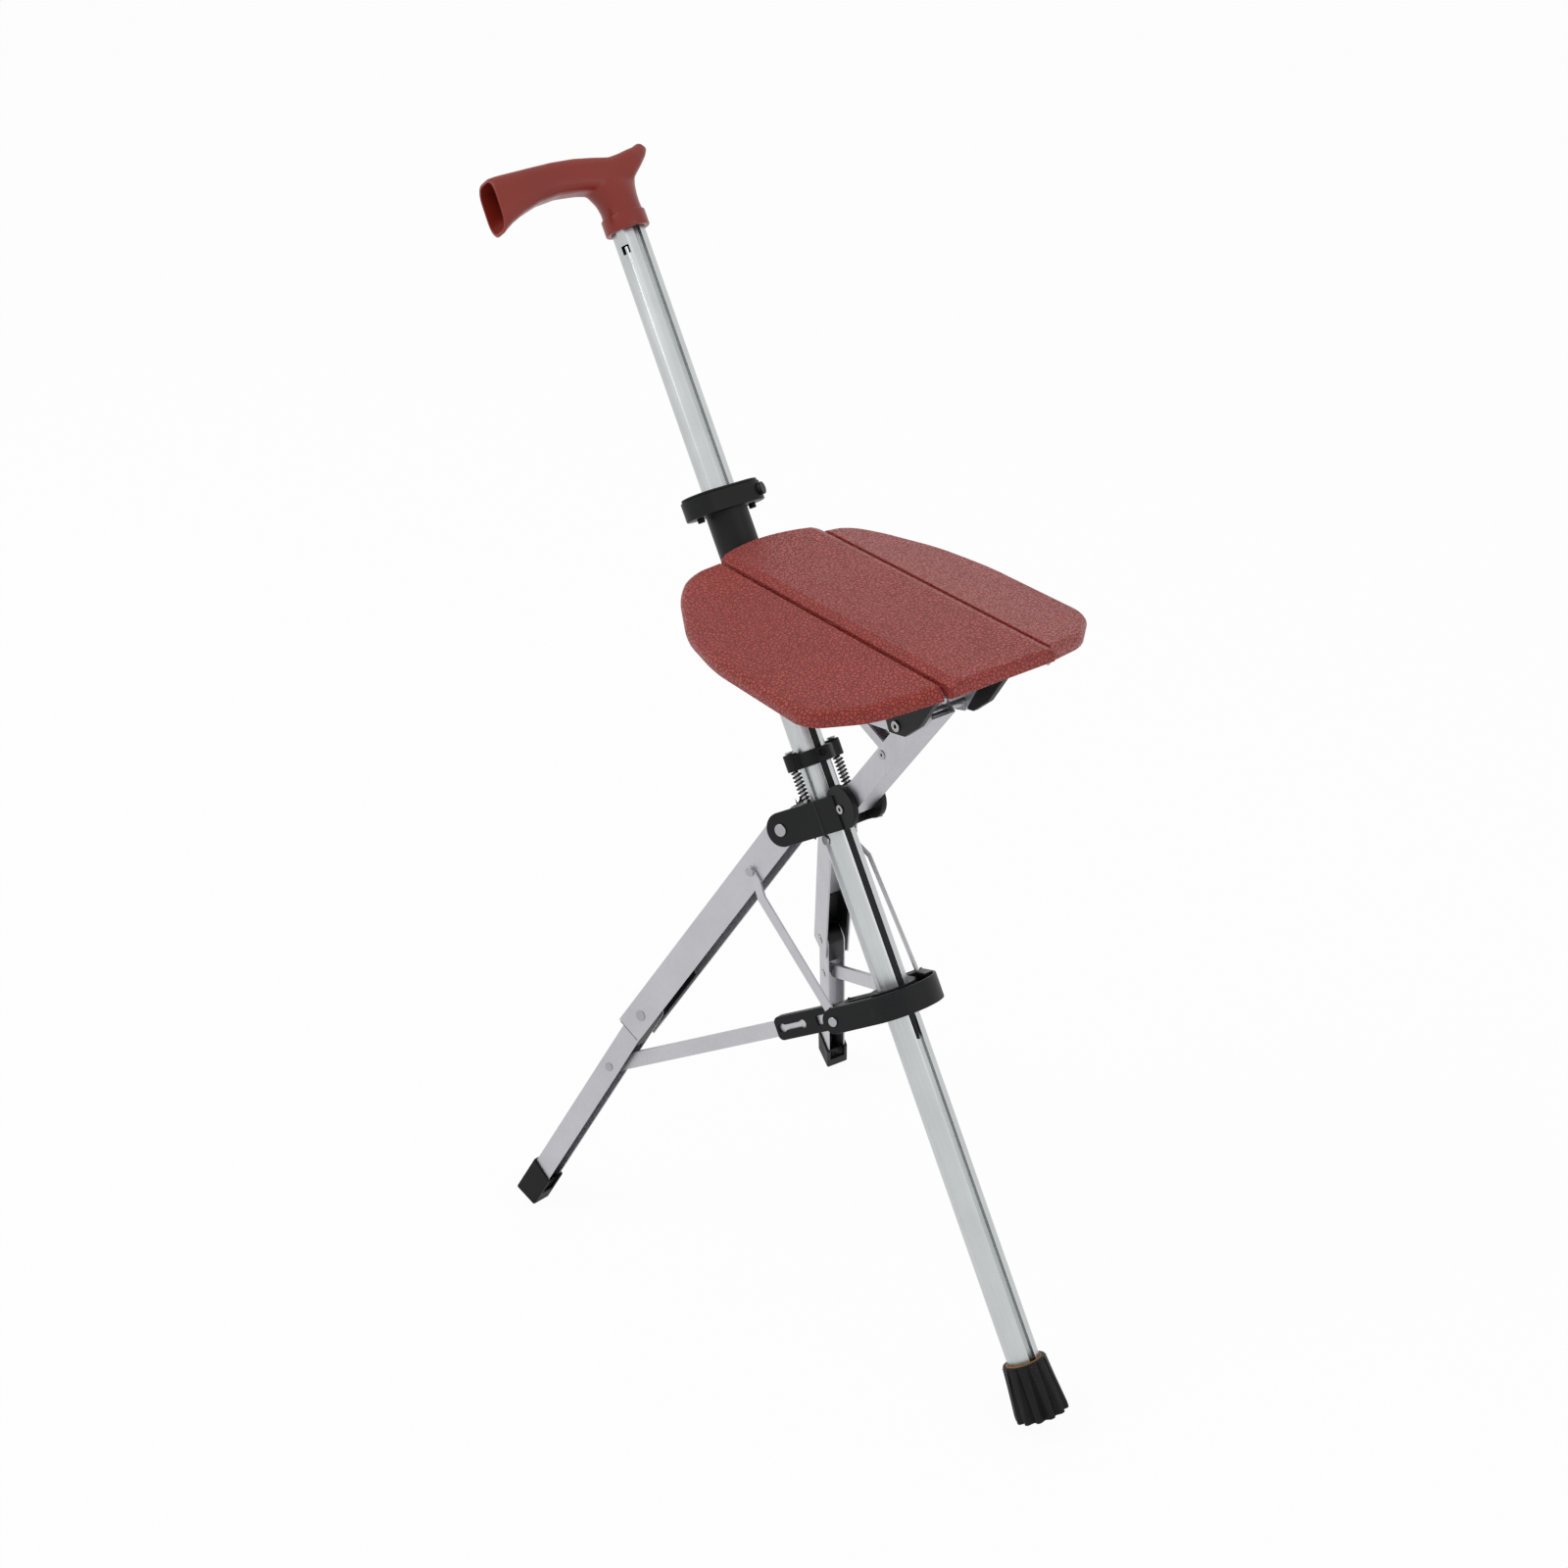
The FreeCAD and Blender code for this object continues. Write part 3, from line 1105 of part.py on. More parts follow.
def make_strut():
    half = S.strut_width / 2
    body = new_body("strut", STRUT_FRAME)
    length = as_size(STRUT_LENGTH)
    add(body, [(length + S.strut_front, -S.strut_front), (length + S.strut_front, S.strut_back / 2),
               (length + S.strut_front / 2, S.strut_back), (0, S.strut_back),
               (-S.strut_back * 0.85, 0, (-S.strut_back * 0.62, S.strut_back * 0.66)),
               (0, -S.strut_front, (-S.strut_back * 0.6, -S.strut_front * 0.7))],
        "XZ_Plane", -half, half)
    inner = half - S.strut_wall
    remove(body, oblong(-S.strut_back * 2, length * 2, -S.strut_front + S.strut_wall, S.strut_back * 2),
           "XZ_Plane", -inner, inner)
    drill(body, (0, 0), S.pin_radius + S.running, "XZ_Plane", -half, half)
    drill(body, (length, 0), S.pin_radius, "XZ_Plane", -half, half)
    drill(body, (S.stay_along, S.stay_above), S.small_rivet, "XZ_Plane", -half, half)
    rail_inner = S.block_half - S.cheek_wall - S.apart / 2 - S.rail_gauge
    reach = rail_inner - S.apart
    keep("strut_top_pin", rod(STRUT_FRAME, "y", (length, 0), S.pin_radius, -reach, reach))
    centre = (S.stay_along, S.stay_above)
    whole = joined(rod(STRUT_FRAME, "y", centre, S.small_rivet, -half, half),
                   rod(STRUT_FRAME, "y", centre, S.small_head, -half - S.head_low, -half),
                   rod(STRUT_FRAME, "y", centre, S.small_head, half, half + S.head_low))
    hole = rod(STRUT_FRAME, "y", centre, S.small_rivet * S.hollow_share, -half * 2, half * 2)
    keep("stay_rivet", without(whole, hole))


def make_stay():
    half = S.stay_width / 2
    deep = S.stay_depth / 2
    length = as_size(STAY_LENGTH)
    body = new_body("stay_plain", STAY_FRAME)
    NODES.remove(body)
    add(body, [(length, -deep), (length, deep), (0, deep),
               (0, -deep, (-deep, 0))], "XZ_Plane", -half, half)
    inner = half - S.stay_gauge
    remove(body, oblong(-deep * 2, length * 2, -deep * 2, deep - S.stay_gauge), "XZ_Plane", -inner, inner)
    drill(body, (0, 0), S.small_rivet + S.running, "XZ_Plane", -half, half)
    beyond = block(STICK, (0, S.rib_front + S.apart), (-S.stay_width, S.stay_width),
                   (S.stay_pivot_height - S.ring_height * 2, S.stay_pivot_height + S.ring_height * 2))
    keep("stay", without(body, beyond))


# Legs


def make_channel(label, frame, half, wall, back, front, start_round, end):
    """A channel along x: its web at +z, open towards -z, with a round end about the origin."""
    body = new_body(label, frame)
    bulge = math.sqrt(0.5)
    add(body, [(end, -front), (end, back), (0, back),
               (-start_round, 0, (-start_round * bulge, back * bulge)),
               (0, -front, (-start_round * bulge, -front * bulge))], "XZ_Plane", -half, half)
    inner = half - wall
    remove(body, oblong(-start_round * 2, end + 1, -front - 1, back - wall), "XZ_Plane", -inner, inner)
    return body


def make_leg(name, side):
    turn = LEG_TURN
    frame = in_leg_plane(side, LEG_PIVOT[0], LEG_PIVOT[1], turn)
    half = S.upper_width / 2
    end = S.knee_reach + S.upper_tail
    upper = make_channel("upper_leg_" + name, frame, half, S.upper_wall, S.upper_back, S.upper_front,
                         S.upper_front, end)
    drill(upper, (0, 0), S.rivet_radius + S.running, "XZ_Plane", -half, half)
    drill(upper, (S.knee_reach, 0), S.knee_radius, "XZ_Plane", -half, half)
    lined = half - S.upper_wall
    liner = new_body("knee_liner_" + name, frame)
    start = end - S.liner_length
    show = S.liner_show
    web = S.upper_back - S.upper_wall
    add(liner, oblong(start, end + show, -S.upper_front + show, web), "XZ_Plane", -lined, lined)
    lined_inner = lined - S.liner_wall
    remove(liner, oblong(start - 1, end + show * 2, -S.upper_front - 1, web - S.liner_wall), "XZ_Plane",
           -lined_inner, lined_inner)
    drill(liner, (S.knee_reach, 0), S.knee_radius, "XZ_Plane", -half, half)
    keep("knee_rivet_" + name, joined(
        rod(frame, "y", (S.knee_reach, 0), S.knee_radius, -half, half),
        rod(frame, "y", (S.knee_reach, 0), S.knee_head, -half - S.head_low, -half),
        rod(frame, "y", (S.knee_reach, 0), S.knee_head, half, half + S.head_low)))

    frame = in_leg_plane(side, KNEE[0], KNEE[1], LOWER_TURN)
    half = S.lower_width / 2
    deep = S.lower_depth / 2
    lower = make_channel("lower_leg_" + name, frame, half, S.lower_wall, deep, deep, deep, S.lower_reach)
    drill(lower, (0, 0), S.knee_radius + S.running, "XZ_Plane", -half, half)
    drill(lower, (S.bar_reach, 0), S.bar_rivet, "XZ_Plane", -half, half)
    inner = half - S.lower_wall
    knee = new_body("knee_block_" + name, frame)
    top = deep - S.lower_wall
    bulge = deep * math.sqrt(0.5)
    add(knee, [(S.knee_block, -deep), (S.knee_block, top), (0, top),
               (-deep, 0, (-bulge, top * 0.7)), (0, -deep, (-bulge, -bulge))], "XZ_Plane", -inner, inner)
    drill(knee, (0, 0), S.knee_radius + S.running, "XZ_Plane", -inner, inner)
    stubs = []
    for sign in (-1, 1):
        root, tip = S.bar_gauge / 2 + S.bar_play, half
        pair = (root, tip) if sign > 0 else (-tip, -root)
        cap = (tip, tip + S.head_low) if sign > 0 else (-tip - S.head_low, -tip)
        stubs.append(joined(rod(frame, "y", (S.bar_reach, 0), S.bar_rivet, *pair),
                            rod(frame, "y", (S.bar_reach, 0), S.small_head, *cap)))
    keep("bar_rivets_" + name, group(*stubs))
    make_foot_cap(name, frame, half, deep)


def make_foot_cap(name, frame, half, deep):
    """A rubber boot with a square end, whose lowest corner stands on the floor. It has a ridge up
    the channel's web, and two prongs beside its open side."""
    start = S.lower_reach - S.cap_length
    wall = S.cap_wall
    outer = deep + wall
    across = half + wall
    down = [-frame.Rotation.multVec(axis).z for axis in (Vector(1, 0, 0), Vector(0, 1, 0), Vector(0, 0, 1))]
    corner = frame.multVec(Vector(S.lower_reach.value, math.copysign(across.value, down[1]),
                                  math.copysign(outer.value, down[2])))
    lifted = S.cap_round.value * (sum(abs(part) for part in down) - 1)
    floor = (corner.z + lifted) / down[0]
    end = S.lower_reach + floor
    body = new_body("boot_plain_" + name, frame)
    NODES.remove(body)
    add(body, [(end, -outer), (end, outer), (start - S.cap_ridge, outer), (start, -outer)],
        "XZ_Plane", -across, across)
    ease_edges(body, "Fillet", S.cap_round, lambda edge: is_boot_edge(edge, start.value + 1))
    remove(body, oblong(start - S.cap_ridge - 1, S.lower_reach, -deep, deep), "XZ_Plane", -half, half)
    remove(body, oblong(start - S.cap_ridge - 1, start + S.cap_notch, -outer - 1, -deep + 1), "XZ_Plane",
           -half + S.lower_wall, half - S.lower_wall)
    keep("foot_cap_" + name, body)


def is_boot_edge(edge, beyond):
    """Edges of a foot cap that run down to its end or round it."""
    return edge.BoundBox.XMax > beyond


# Links and ring


def make_link(name, side):
    frame = in_leg_plane(side, LUG[0], LUG[1], LINK_TURN)
    sign = -side
    half = S.link_gauge / 2
    low = S.link_side
    high = S.upper_width / 2 + S.link_lift + half
    length = as_size(LINK_LENGTH)
    jog = length - S.link_jog
    flat_end = length - S.link_width * 1.3
    round_end = S.link_width / 2
    body = new_body("bent_link_" + name, frame)
    corners = [(-round_end, (low - half) * sign), (jog, (low - half) * sign),
               (flat_end, (high - half) * sign), (length + round_end, (high - half) * sign),
               (length + round_end, (high + half) * sign), (flat_end + half / 2, (high + half) * sign),
               (jog + half / 2, (low + half) * sign), (-round_end, (low + half) * sign)]
    add(body, corners, "XY_Plane", -round_end, round_end)
    doc.recompute()
    tip = length.value + round_end.value
    start = -round_end.value
    ease_edges(body, "Fillet", round_end - 0.05, lambda edge: is_corner(edge, start, tip))
    drill(body, (0, 0), S.ring_pin + S.running, "XZ_Plane", -S.link_side * 2, S.link_side * 2)
    drill(body, (length, 0), S.small_rivet, "XZ_Plane", -S.link_side * 2, S.link_side * 2)
    top = high + half
    keep("link_rivet_" + name, joined(
        rod(frame, "y", (length, 0), S.small_rivet, *layers(side, high - half, top)),
        rod(frame, "y", (length, 0), S.small_head, *layers(side, top, top + S.head_rise))))


def is_corner(edge, start, tip):
    """Short edges across the gauge of a link, at both of its ends."""
    box = edge.BoundBox
    across = box.XMax - box.XMin < 0.01 and box.ZMax - box.ZMin < 0.01
    return across and (abs(box.XMin - start) < 0.01 or abs(box.XMin - tip) < 0.01)


def make_bar(name, side):
    frame = in_leg_plane(side, LUG[0], LUG[1], BAR_TURN)
    length = as_size(BAR_LENGTH)
    half = S.bar_gauge / 2
    wide = S.bar_width / 2
    bulge = wide * math.sqrt(0.5)
    body = new_body("link_bar_" + name, frame)
    add(body, [(length, -wide), (length, wide, (length + wide, 0)), (S.sheath_plug, wide),
               (S.sheath_plug, -wide)], "XZ_Plane", -half, half)
    drill(body, (length, 0), S.bar_rivet, "XZ_Plane", -half, half)
    deep = S.sheath_width / 2
    outer = S.sheath_gauge / 2
    sheath = new_body("bar_sheath_" + name, frame)
    bend = deep * math.sqrt(0.5)
    add(sheath, [(S.sheath_length, -deep), (S.sheath_length, deep), (0, deep),
                 (-deep, 0, (-bend, bend)), (0, -deep, (-bend, -bend))], "XZ_Plane", -outer, outer)
    tip = S.sheath_length.value
    ease_edges(sheath, "Fillet", S.sheath_round, lambda edge: is_corner(edge, tip, tip))
    remove(sheath, oblong(S.sheath_plug, S.sheath_length + 1, -wide, wide), "XZ_Plane", -half, half)
    drill(sheath, (0, 0), S.ring_pin + S.running, "XZ_Plane", -outer, outer)
    window = S.window_height / 2
    remove(sheath, oblong(S.window_start, S.window_start + S.window_length, -window, window),
           "XZ_Plane", -outer, outer)
    slot_start = S.sheath_length - S.slot_length - S.slot_end
    remove(sheath, oblong(slot_start, slot_start + S.slot_length, -S.slot_height / 2, S.slot_height / 2),
           "XZ_Plane", -outer, outer)
    for x in (slot_start, slot_start + S.slot_length):
        drill(sheath, (x, 0), S.slot_height * 0.8, "XZ_Plane", -outer, outer)


def make_ring():
    low = LUG_HEIGHT - S.lug_round
    high = low + S.ring_height
    tube_radius = S.tube_od / 2
    lug_out = S.lug_side + S.lug_wall
    band = S.leg_offset + lug_out
    band_inner = S.leg_offset + S.lug_side
    collar = tube_radius + S.ring_wall
    open_angle = 2 * (90 - S.splay.value)
    pieces = [rod(STICK, "z", (0, 0), collar, low, high)]
    front = rod(STICK, "z", (0, 0), band, low, high)
    front.Angle = open_angle
    turn = Placement(Vector(), Rotation(UP, -open_angle / 2))
    front.Placement = STICK.multiply(turn).multiply(Placement(Vector(0, 0, low.value), Rotation()))
    pieces.append(front)
    hollow = rod(STICK, "z", (0, 0), band_inner, low + S.ring_floor, high + 1)
    core = rod(STICK, "z", (0, 0), collar, low, high + 2)
    tools = []
    bar_slot = S.sheath_gauge / 2 + S.apart
    link_low = S.link_side - S.link_gauge / 2 - S.apart
    for side in SIDES.values():
        frame = in_leg_plane(side, 0, 0, 0)
        start, end = layers(side, -bar_slot - S.lug_wall, lug_out)
        pieces.append(slab(frame, start, end, 0, S.lug_radius, LUG_HEIGHT, S.lug_round, low, high))
        start, end = layers(side, -bar_slot, bar_slot)
        tools.append(block(frame, (S.lug_radius - S.sheath_width / 2 - S.apart, S.lug_radius * 2),
                           (start, end), (low - 1, high + 1)))
        start, end = layers(side, link_low, S.lug_side)
        tools.append(block(frame, (S.lug_radius - S.link_width, S.lug_radius * 2), (start, end),
                           (low - 1, high + 1)))
        start, end = layers(side, -bar_slot - S.lug_wall, lug_out)
        tools.append(rod(frame, "y", (S.lug_radius, LUG_HEIGHT), S.ring_pin, start, end))
        start, end = layers(side, bar_slot + S.lug_wall, link_low - S.lug_wall)
        tools.append(block(frame, (0, S.lug_radius - S.lug_round), (start, end),
                           (low + S.ring_floor, high + 1)))
    hollow.Angle = open_angle
    hollow.Placement = STICK.multiply(turn).multiply(
        Placement(Vector(0, 0, low.value + S.ring_floor.value), Rotation()))
    tools.append(without(hollow, core))
    tools.append(rod(STICK, "z", (0, 0), tube_radius + S.running, low - 1, high + 1))
    keep("slide_ring", without(joined(*pieces), *tools))
    rivets = []
    for side in SIDES.values():
        frame = in_leg_plane(side, LUG[0], LUG[1], 0)
        shank = rod(frame, "y", (0, 0), S.ring_pin, *layers(side, -bar_slot - S.lug_wall, lug_out))
        head = rod(frame, "y", (0, 0), S.ring_head, *layers(side, lug_out, lug_out + S.head_rise))
        rivets.append(joined(shank, head))
    keep("ring_rivets", group(*rivets))


def check_and_write():
    """Stop if any feature failed; otherwise write each node's shape."""
    doc.recompute()
    for feature in doc.Objects:
        if "Invalid" in feature.State or "Error" in feature.State:
            raise RuntimeError("%s (%s) failed to compute" % (feature.Name, feature.Label))
    for node in NODES:
        shape = node.Shape
        if shape.isNull() or not shape.isValid() or not shape.Solids:
            raise RuntimeError("%s has no valid solid" % node.Label)
    os.makedirs("parts", exist_ok=True)
    for node in NODES:
        node.Shape.exportStep("parts/%s.step" % node.Label)


make_tube_catch(make_tube())
make_ferrule()
make_handle()
make_hub_pins(make_hub())
make_springs()
make_release()
make_slide_collar()
make_middle_panel()
make_seat_metal()
make_strut()
make_stay()
make_ring()
for side_name, side_sign in SIDES.items():
    make_wing(side_name, side_sign)
    make_leg(side_name, side_sign)
    make_link(side_name, side_sign)
    make_bar(side_name, side_sign)
check_and_write()
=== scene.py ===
"""Looks of the folding stick seat: its grip, seat panels, springs and fittings, and a pale studio."""

import json
import math

import bmesh
import bpy
from mathutils import Euler, Matrix, Vector

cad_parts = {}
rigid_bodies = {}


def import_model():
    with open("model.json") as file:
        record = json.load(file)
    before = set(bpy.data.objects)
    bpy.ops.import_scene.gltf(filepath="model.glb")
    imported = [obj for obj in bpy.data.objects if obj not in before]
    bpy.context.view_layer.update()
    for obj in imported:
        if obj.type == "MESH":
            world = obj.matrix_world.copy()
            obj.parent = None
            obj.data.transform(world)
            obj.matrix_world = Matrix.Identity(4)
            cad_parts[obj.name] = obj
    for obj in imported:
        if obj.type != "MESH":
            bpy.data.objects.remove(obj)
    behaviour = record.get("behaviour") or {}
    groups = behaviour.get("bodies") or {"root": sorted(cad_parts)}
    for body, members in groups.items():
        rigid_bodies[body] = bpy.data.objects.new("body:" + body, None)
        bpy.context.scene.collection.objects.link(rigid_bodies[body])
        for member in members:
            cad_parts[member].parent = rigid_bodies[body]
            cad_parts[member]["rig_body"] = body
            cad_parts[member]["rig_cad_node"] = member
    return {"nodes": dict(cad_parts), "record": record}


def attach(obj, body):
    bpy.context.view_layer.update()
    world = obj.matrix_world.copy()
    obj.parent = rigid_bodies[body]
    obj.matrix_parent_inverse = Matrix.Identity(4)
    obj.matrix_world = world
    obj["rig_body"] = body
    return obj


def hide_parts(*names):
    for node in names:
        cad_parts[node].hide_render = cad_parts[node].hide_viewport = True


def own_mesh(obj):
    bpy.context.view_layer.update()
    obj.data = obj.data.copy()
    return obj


bl_info = {
    "name": "Stick seat studio",
    "version": (1, 0, 0),
    "blender": (4, 5, 0),
    "location": "3D View > Sidebar > Stick seat",
    "description": "Dresses the folding stick seat and sets it in a pale studio",
    "category": "Object",
}

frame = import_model()
bpy.context.view_layer.update()

MM = 0.001
SIDES = (("right", -1), ("left", 1))

# The stick's own frame: x is its front, y the sitter's left, z runs up it from the sole.
LEAN = math.radians(33.1)
SOLE = Vector((0.235, 0.0, 0.009994))
ALONG = Vector((-math.sin(LEAN), 0.0, math.cos(LEAN)))
STICK = Matrix.Translation(SOLE) @ Matrix.Rotation(-LEAN, 4, "Y")

# The seat's frame: x runs forward from its back edge, z up from its top.
SEAT = Matrix.Translation(SOLE + Vector((-0.2939, 0.0, 0.5212)))


def paint(red, green, blue):
    """A colour as a paint chart gives it, 0 to 255, in the linear values that shaders use."""
    shares = [part / 255.0 for part in (red, green, blue)]
    return tuple(s / 12.92 if s < 0.04045 else ((s + 0.055) / 1.055) ** 2.4 for s in shares)


# Sizes and colours that a user would change


def colour(name, text, default):
    return bpy.props.FloatVectorProperty(name=name, description=text, subtype="COLOR", size=3,
                                         min=0.0, max=1.0, default=default)


def length(name, text, default):
    return bpy.props.FloatProperty(name=name, description=text, subtype="DISTANCE", unit="LENGTH",
                                   min=0.0, default=default, precision=5)


def share(name, text, default, top=1.0):
    return bpy.props.FloatProperty(name=name, description=text, min=0.0, max=top, default=default)


class StickSeatFinishes(bpy.types.PropertyGroup):
    seat_red: colour("Seat red", "Moulded seat panels", paint(168, 57, 48))
    grip_red: colour("Grip red", "Moulded handle", paint(139, 42, 31))
    silver: colour("Silver", "Anodised stick tube", paint(197, 201, 202))
    leg_silver: colour("Leg silver", "Leg, strut and link metal", paint(192, 191, 196))
    black: colour("Black", "Hub, collars, ring and knees", paint(17, 18, 20))
    rubber: colour("Rubber", "Ferrule and foot caps", paint(14, 14, 15))
    steel: colour("Steel", "Rivets, pins and screws", paint(170, 170, 172))
    tan: colour("Tan", "Band in the ferrule's mouth", paint(150, 112, 72))
    pebble_size: length("Pebble size", "Leather pebbles on the seat", 0.0025)
    pebble_depth: length("Pebble depth", "Height of the pebbles", 0.0007)
    grip_grain: length("Grip grain", "Fine grain on the grip's top", 0.0011)


class StickSeatShape(bpy.types.PropertyGroup):
    rim_round: length("Rim rounding", "Round top rims of the seat panels", 0.0052)
    wing_corner: length("Wing corner", "Cut of the wings' outer corners", 0.011)
    ease: length("Eased edges", "Rounding of moulded black parts", 0.0007)
    sheet_ease: length("Sheet edges", "Rounding of the metal channels' edges", 0.0003)
    grip_wall: length("Grip wall", "Wall round the grip's open end", 0.0019)
    grip_hollow: length("Grip hollow", "Depth of the grip's open end", 0.032)
    spring_turns: bpy.props.IntProperty(name="Spring turns", description="Turns of each release spring",
                                        min=3, default=8)
    spring_wire: length("Spring wire", "Radius of the release springs' wire", 0.00055)


class StickSeatStage(bpy.types.PropertyGroup):
    azimuth: bpy.props.FloatProperty(name="Azimuth", description="Camera turned about the upright",
                                     subtype="ANGLE", unit="ROTATION", default=math.radians(52.696))
    elevation: bpy.props.FloatProperty(name="Elevation", description="Camera above the level",
                                       subtype="ANGLE", unit="ROTATION", default=math.radians(29.619))
    place: bpy.props.FloatVectorProperty(name="Camera", description="Place of the camera",
                                         subtype="TRANSLATION", unit="LENGTH", size=3,
                                         default=(1.05860, -0.84110, 1.14844))
    lens: bpy.props.FloatProperty(name="Lens", description="Focal length on a 36 mm sensor",
                                  min=20.0, default=55.03)
    floor: colour("Floor", "Floor and backdrop", (0.95, 0.95, 0.95))
    daylight: share("Daylight", "Strength of the light from all round", 0.62, 5.0)
    key: share("Key lamp", "Power of the large lamp, in watts", 16.0, 500.0)
    fill: share("Fill lamp", "Power of the second lamp, in watts", 6.0, 500.0)


# Hand tools


def finishes():
    return bpy.context.scene.stick_seat_finishes


def shape():
    return bpy.context.scene.stick_seat_shape


def pick(*objects):
    """Select these objects and nothing else; the last one is active."""
    bpy.ops.object.select_all(action="DESELECT")
    for piece in objects:
        piece.hide_viewport = False
        piece.select_set(True)
    bpy.context.view_layer.objects.active = objects[-1]


def active_piece(name):
    piece = bpy.context.active_object
    piece.name = name
    piece.data.name = name
    return piece


def edit(piece):
    pick(piece)
    bpy.ops.object.mode_set(mode="EDIT")


def leave():
    bpy.ops.object.mode_set(mode="OBJECT")


def choose(piece, kind, test):
    """In edit mode, select the corners, edges or faces that a test picks out."""
    bpy.ops.mesh.select_mode(type=kind)
    bpy.ops.mesh.select_all(action="DESELECT")
    mesh = bmesh.from_edit_mesh(piece.data)
    parts = {"VERT": mesh.verts, "EDGE": mesh.edges, "FACE": mesh.faces}[kind]
    count = 0
    for part in parts:
        if test(part):
            part.select_set(True)
            count += 1
    mesh.select_flush_mode()
    bmesh.update_edit_mesh(piece.data)
    if not count:
        raise RuntimeError(piece.name + ": nothing to select")
    return count


def middle(edge):
    return (edge.verts[0].co + edge.verts[1].co) / 2


def modify(piece, kind, **values):
    """Add a modifier, set it and apply it."""
    pick(piece)
    modifier = piece.modifiers.new(kind.title(), kind)
    for name, value in values.items():
        setattr(modifier, name, value)
    bpy.ops.object.modifier_apply(modifier=modifier.name)


def smooth(piece, angle=34.0):
    pick(piece)
    bpy.ops.object.shade_smooth_by_angle(angle=math.radians(angle))


def settle(piece, placement):
    """Move a piece from its own frame to its place, with the place in its mesh."""
    piece.matrix_world = placement
    pick(piece)
    bpy.ops.object.transform_apply(location=True, rotation=True, scale=True)


def face_out(piece):
    edit(piece)
    bpy.ops.mesh.select_all(action="SELECT")
    bpy.ops.mesh.remove_doubles(threshold=0.000002)
    bpy.ops.mesh.normals_make_consistent(inside=False)
    leave()


def hand_over(piece, body, slot, material, *nodes):
    """Give a finished piece its material, its body and the nodes it stands for."""
    piece.data.materials.clear()
    piece.data.materials.append(material)
    for polygon in piece.data.polygons:
        polygon.material_index = 0
    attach(piece, body)
    if nodes:
        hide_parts(*nodes)
    return piece


def eased_copy(node, ease, segments=2, sharp=34.0, weighted=True):
    """A merged copy of a CAD node with its sharp edges rounded."""
    source = frame["nodes"][node]
    pick(source)
    bpy.ops.object.duplicate(linked=False)
    piece = active_piece(node + "_eased")
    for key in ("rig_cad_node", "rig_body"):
        if key in piece:
            del piece[key]
    world = piece.matrix_world.copy()
    piece.parent = None
    piece.matrix_world = world
    edit(piece)
    bpy.ops.mesh.select_all(action="SELECT")
    bpy.ops.mesh.customdata_custom_splitnormals_clear()
    bpy.ops.mesh.remove_doubles(threshold=0.000004)
    bpy.ops.mesh.dissolve_limited(angle_limit=math.radians(0.4))
    leave()
    modify(piece, "BEVEL", width=ease, segments=segments, limit_method="ANGLE",
           angle_limit=math.radians(sharp), use_clamp_overlap=False, harden_normals=False,
           miter_outer="MITER_ARC")
    smooth(piece, 38.0)
    if weighted:
        modify(piece, "WEIGHTED_NORMAL", keep_sharp=True, weight=50)
    return piece


# Materials


def shader(name):
    material = bpy.data.materials.new(name)
    material.use_nodes = True
    nodes = material.node_tree.nodes
    nodes.clear()
    out = nodes.new("ShaderNodeOutputMaterial")
    main = nodes.new("ShaderNodeBsdfPrincipled")
    material.node_tree.links.new(main.outputs["BSDF"], out.inputs["Surface"])
    return material, main


def group_of(name, inputs, outputs):
    """An empty node group with named sockets, and its input and output nodes."""
    tree = bpy.data.node_groups.new(name, "ShaderNodeTree")
    kinds = {"value": "NodeSocketFloat", "vector": "NodeSocketVector", "colour": "NodeSocketColor"}
    for socket, kind, default in inputs:
        made = tree.interface.new_socket(name=socket, in_out="INPUT", socket_type=kinds[kind])
        if default is not None:
            made.default_value = default
    for socket, kind in outputs:
        tree.interface.new_socket(name=socket, in_out="OUTPUT", socket_type=kinds[kind])
    return tree, tree.nodes.new("NodeGroupInput"), tree.nodes.new("NodeGroupOutput")


def node(tree, kind, links=(), **values):
    """Add a node; links are (input, output socket) pairs, values are its settings."""
    made = tree.nodes.new("ShaderNode" + kind)
    for name, value in values.items():
        if hasattr(made, name):
            setattr(made, name, value)
        else:
            made.inputs[name].default_value = value
    for target, source in links:
        tree.links.new(source, made.inputs[target])
    return made


def maths(tree, operation, first, second=None):
    made = tree.nodes.new("ShaderNodeMath")
    made.operation = operation
    made.use_clamp = False
    for index, value in enumerate((first, second)):
        if value is None:
            continue
        if isinstance(value, (int, float)):
            made.inputs[index].default_value = value
        else:
            tree.links.new(value, made.inputs[index])
    return made.outputs[0]


def fit(tree, source, low, high, to_low=0.0, to_high=1.0):
    """Map a value's range to another, held at its ends."""
    made = tree.nodes.new("ShaderNodeMapRange")
    made.inputs["From Min"].default_value = low
    made.inputs["From Max"].default_value = high
    made.inputs["To Min"].default_value = to_low
    made.inputs["To Max"].default_value = to_high
    tree.links.new(source, made.inputs["Value"])
    return made.outputs["Result"]


def blend(tree, amount, first, second, kind="MIX"):
    """Mix two colours by an amount."""
    made = tree.nodes.new("ShaderNodeMix")
    made.data_type = "RGBA"
    made.blend_type = kind
    for name, value in (("Factor", amount), ("A", first), ("B", second)):
        index = {"Factor": 0, "A": 6, "B": 7}[name]
        if isinstance(value, (int, float)):
            made.inputs[index].default_value = value
        elif isinstance(value, tuple):
            made.inputs[index].default_value = (*value[:3], 1.0)
        else:
            tree.links.new(value, made.inputs[index])
    return made.outputs[2]


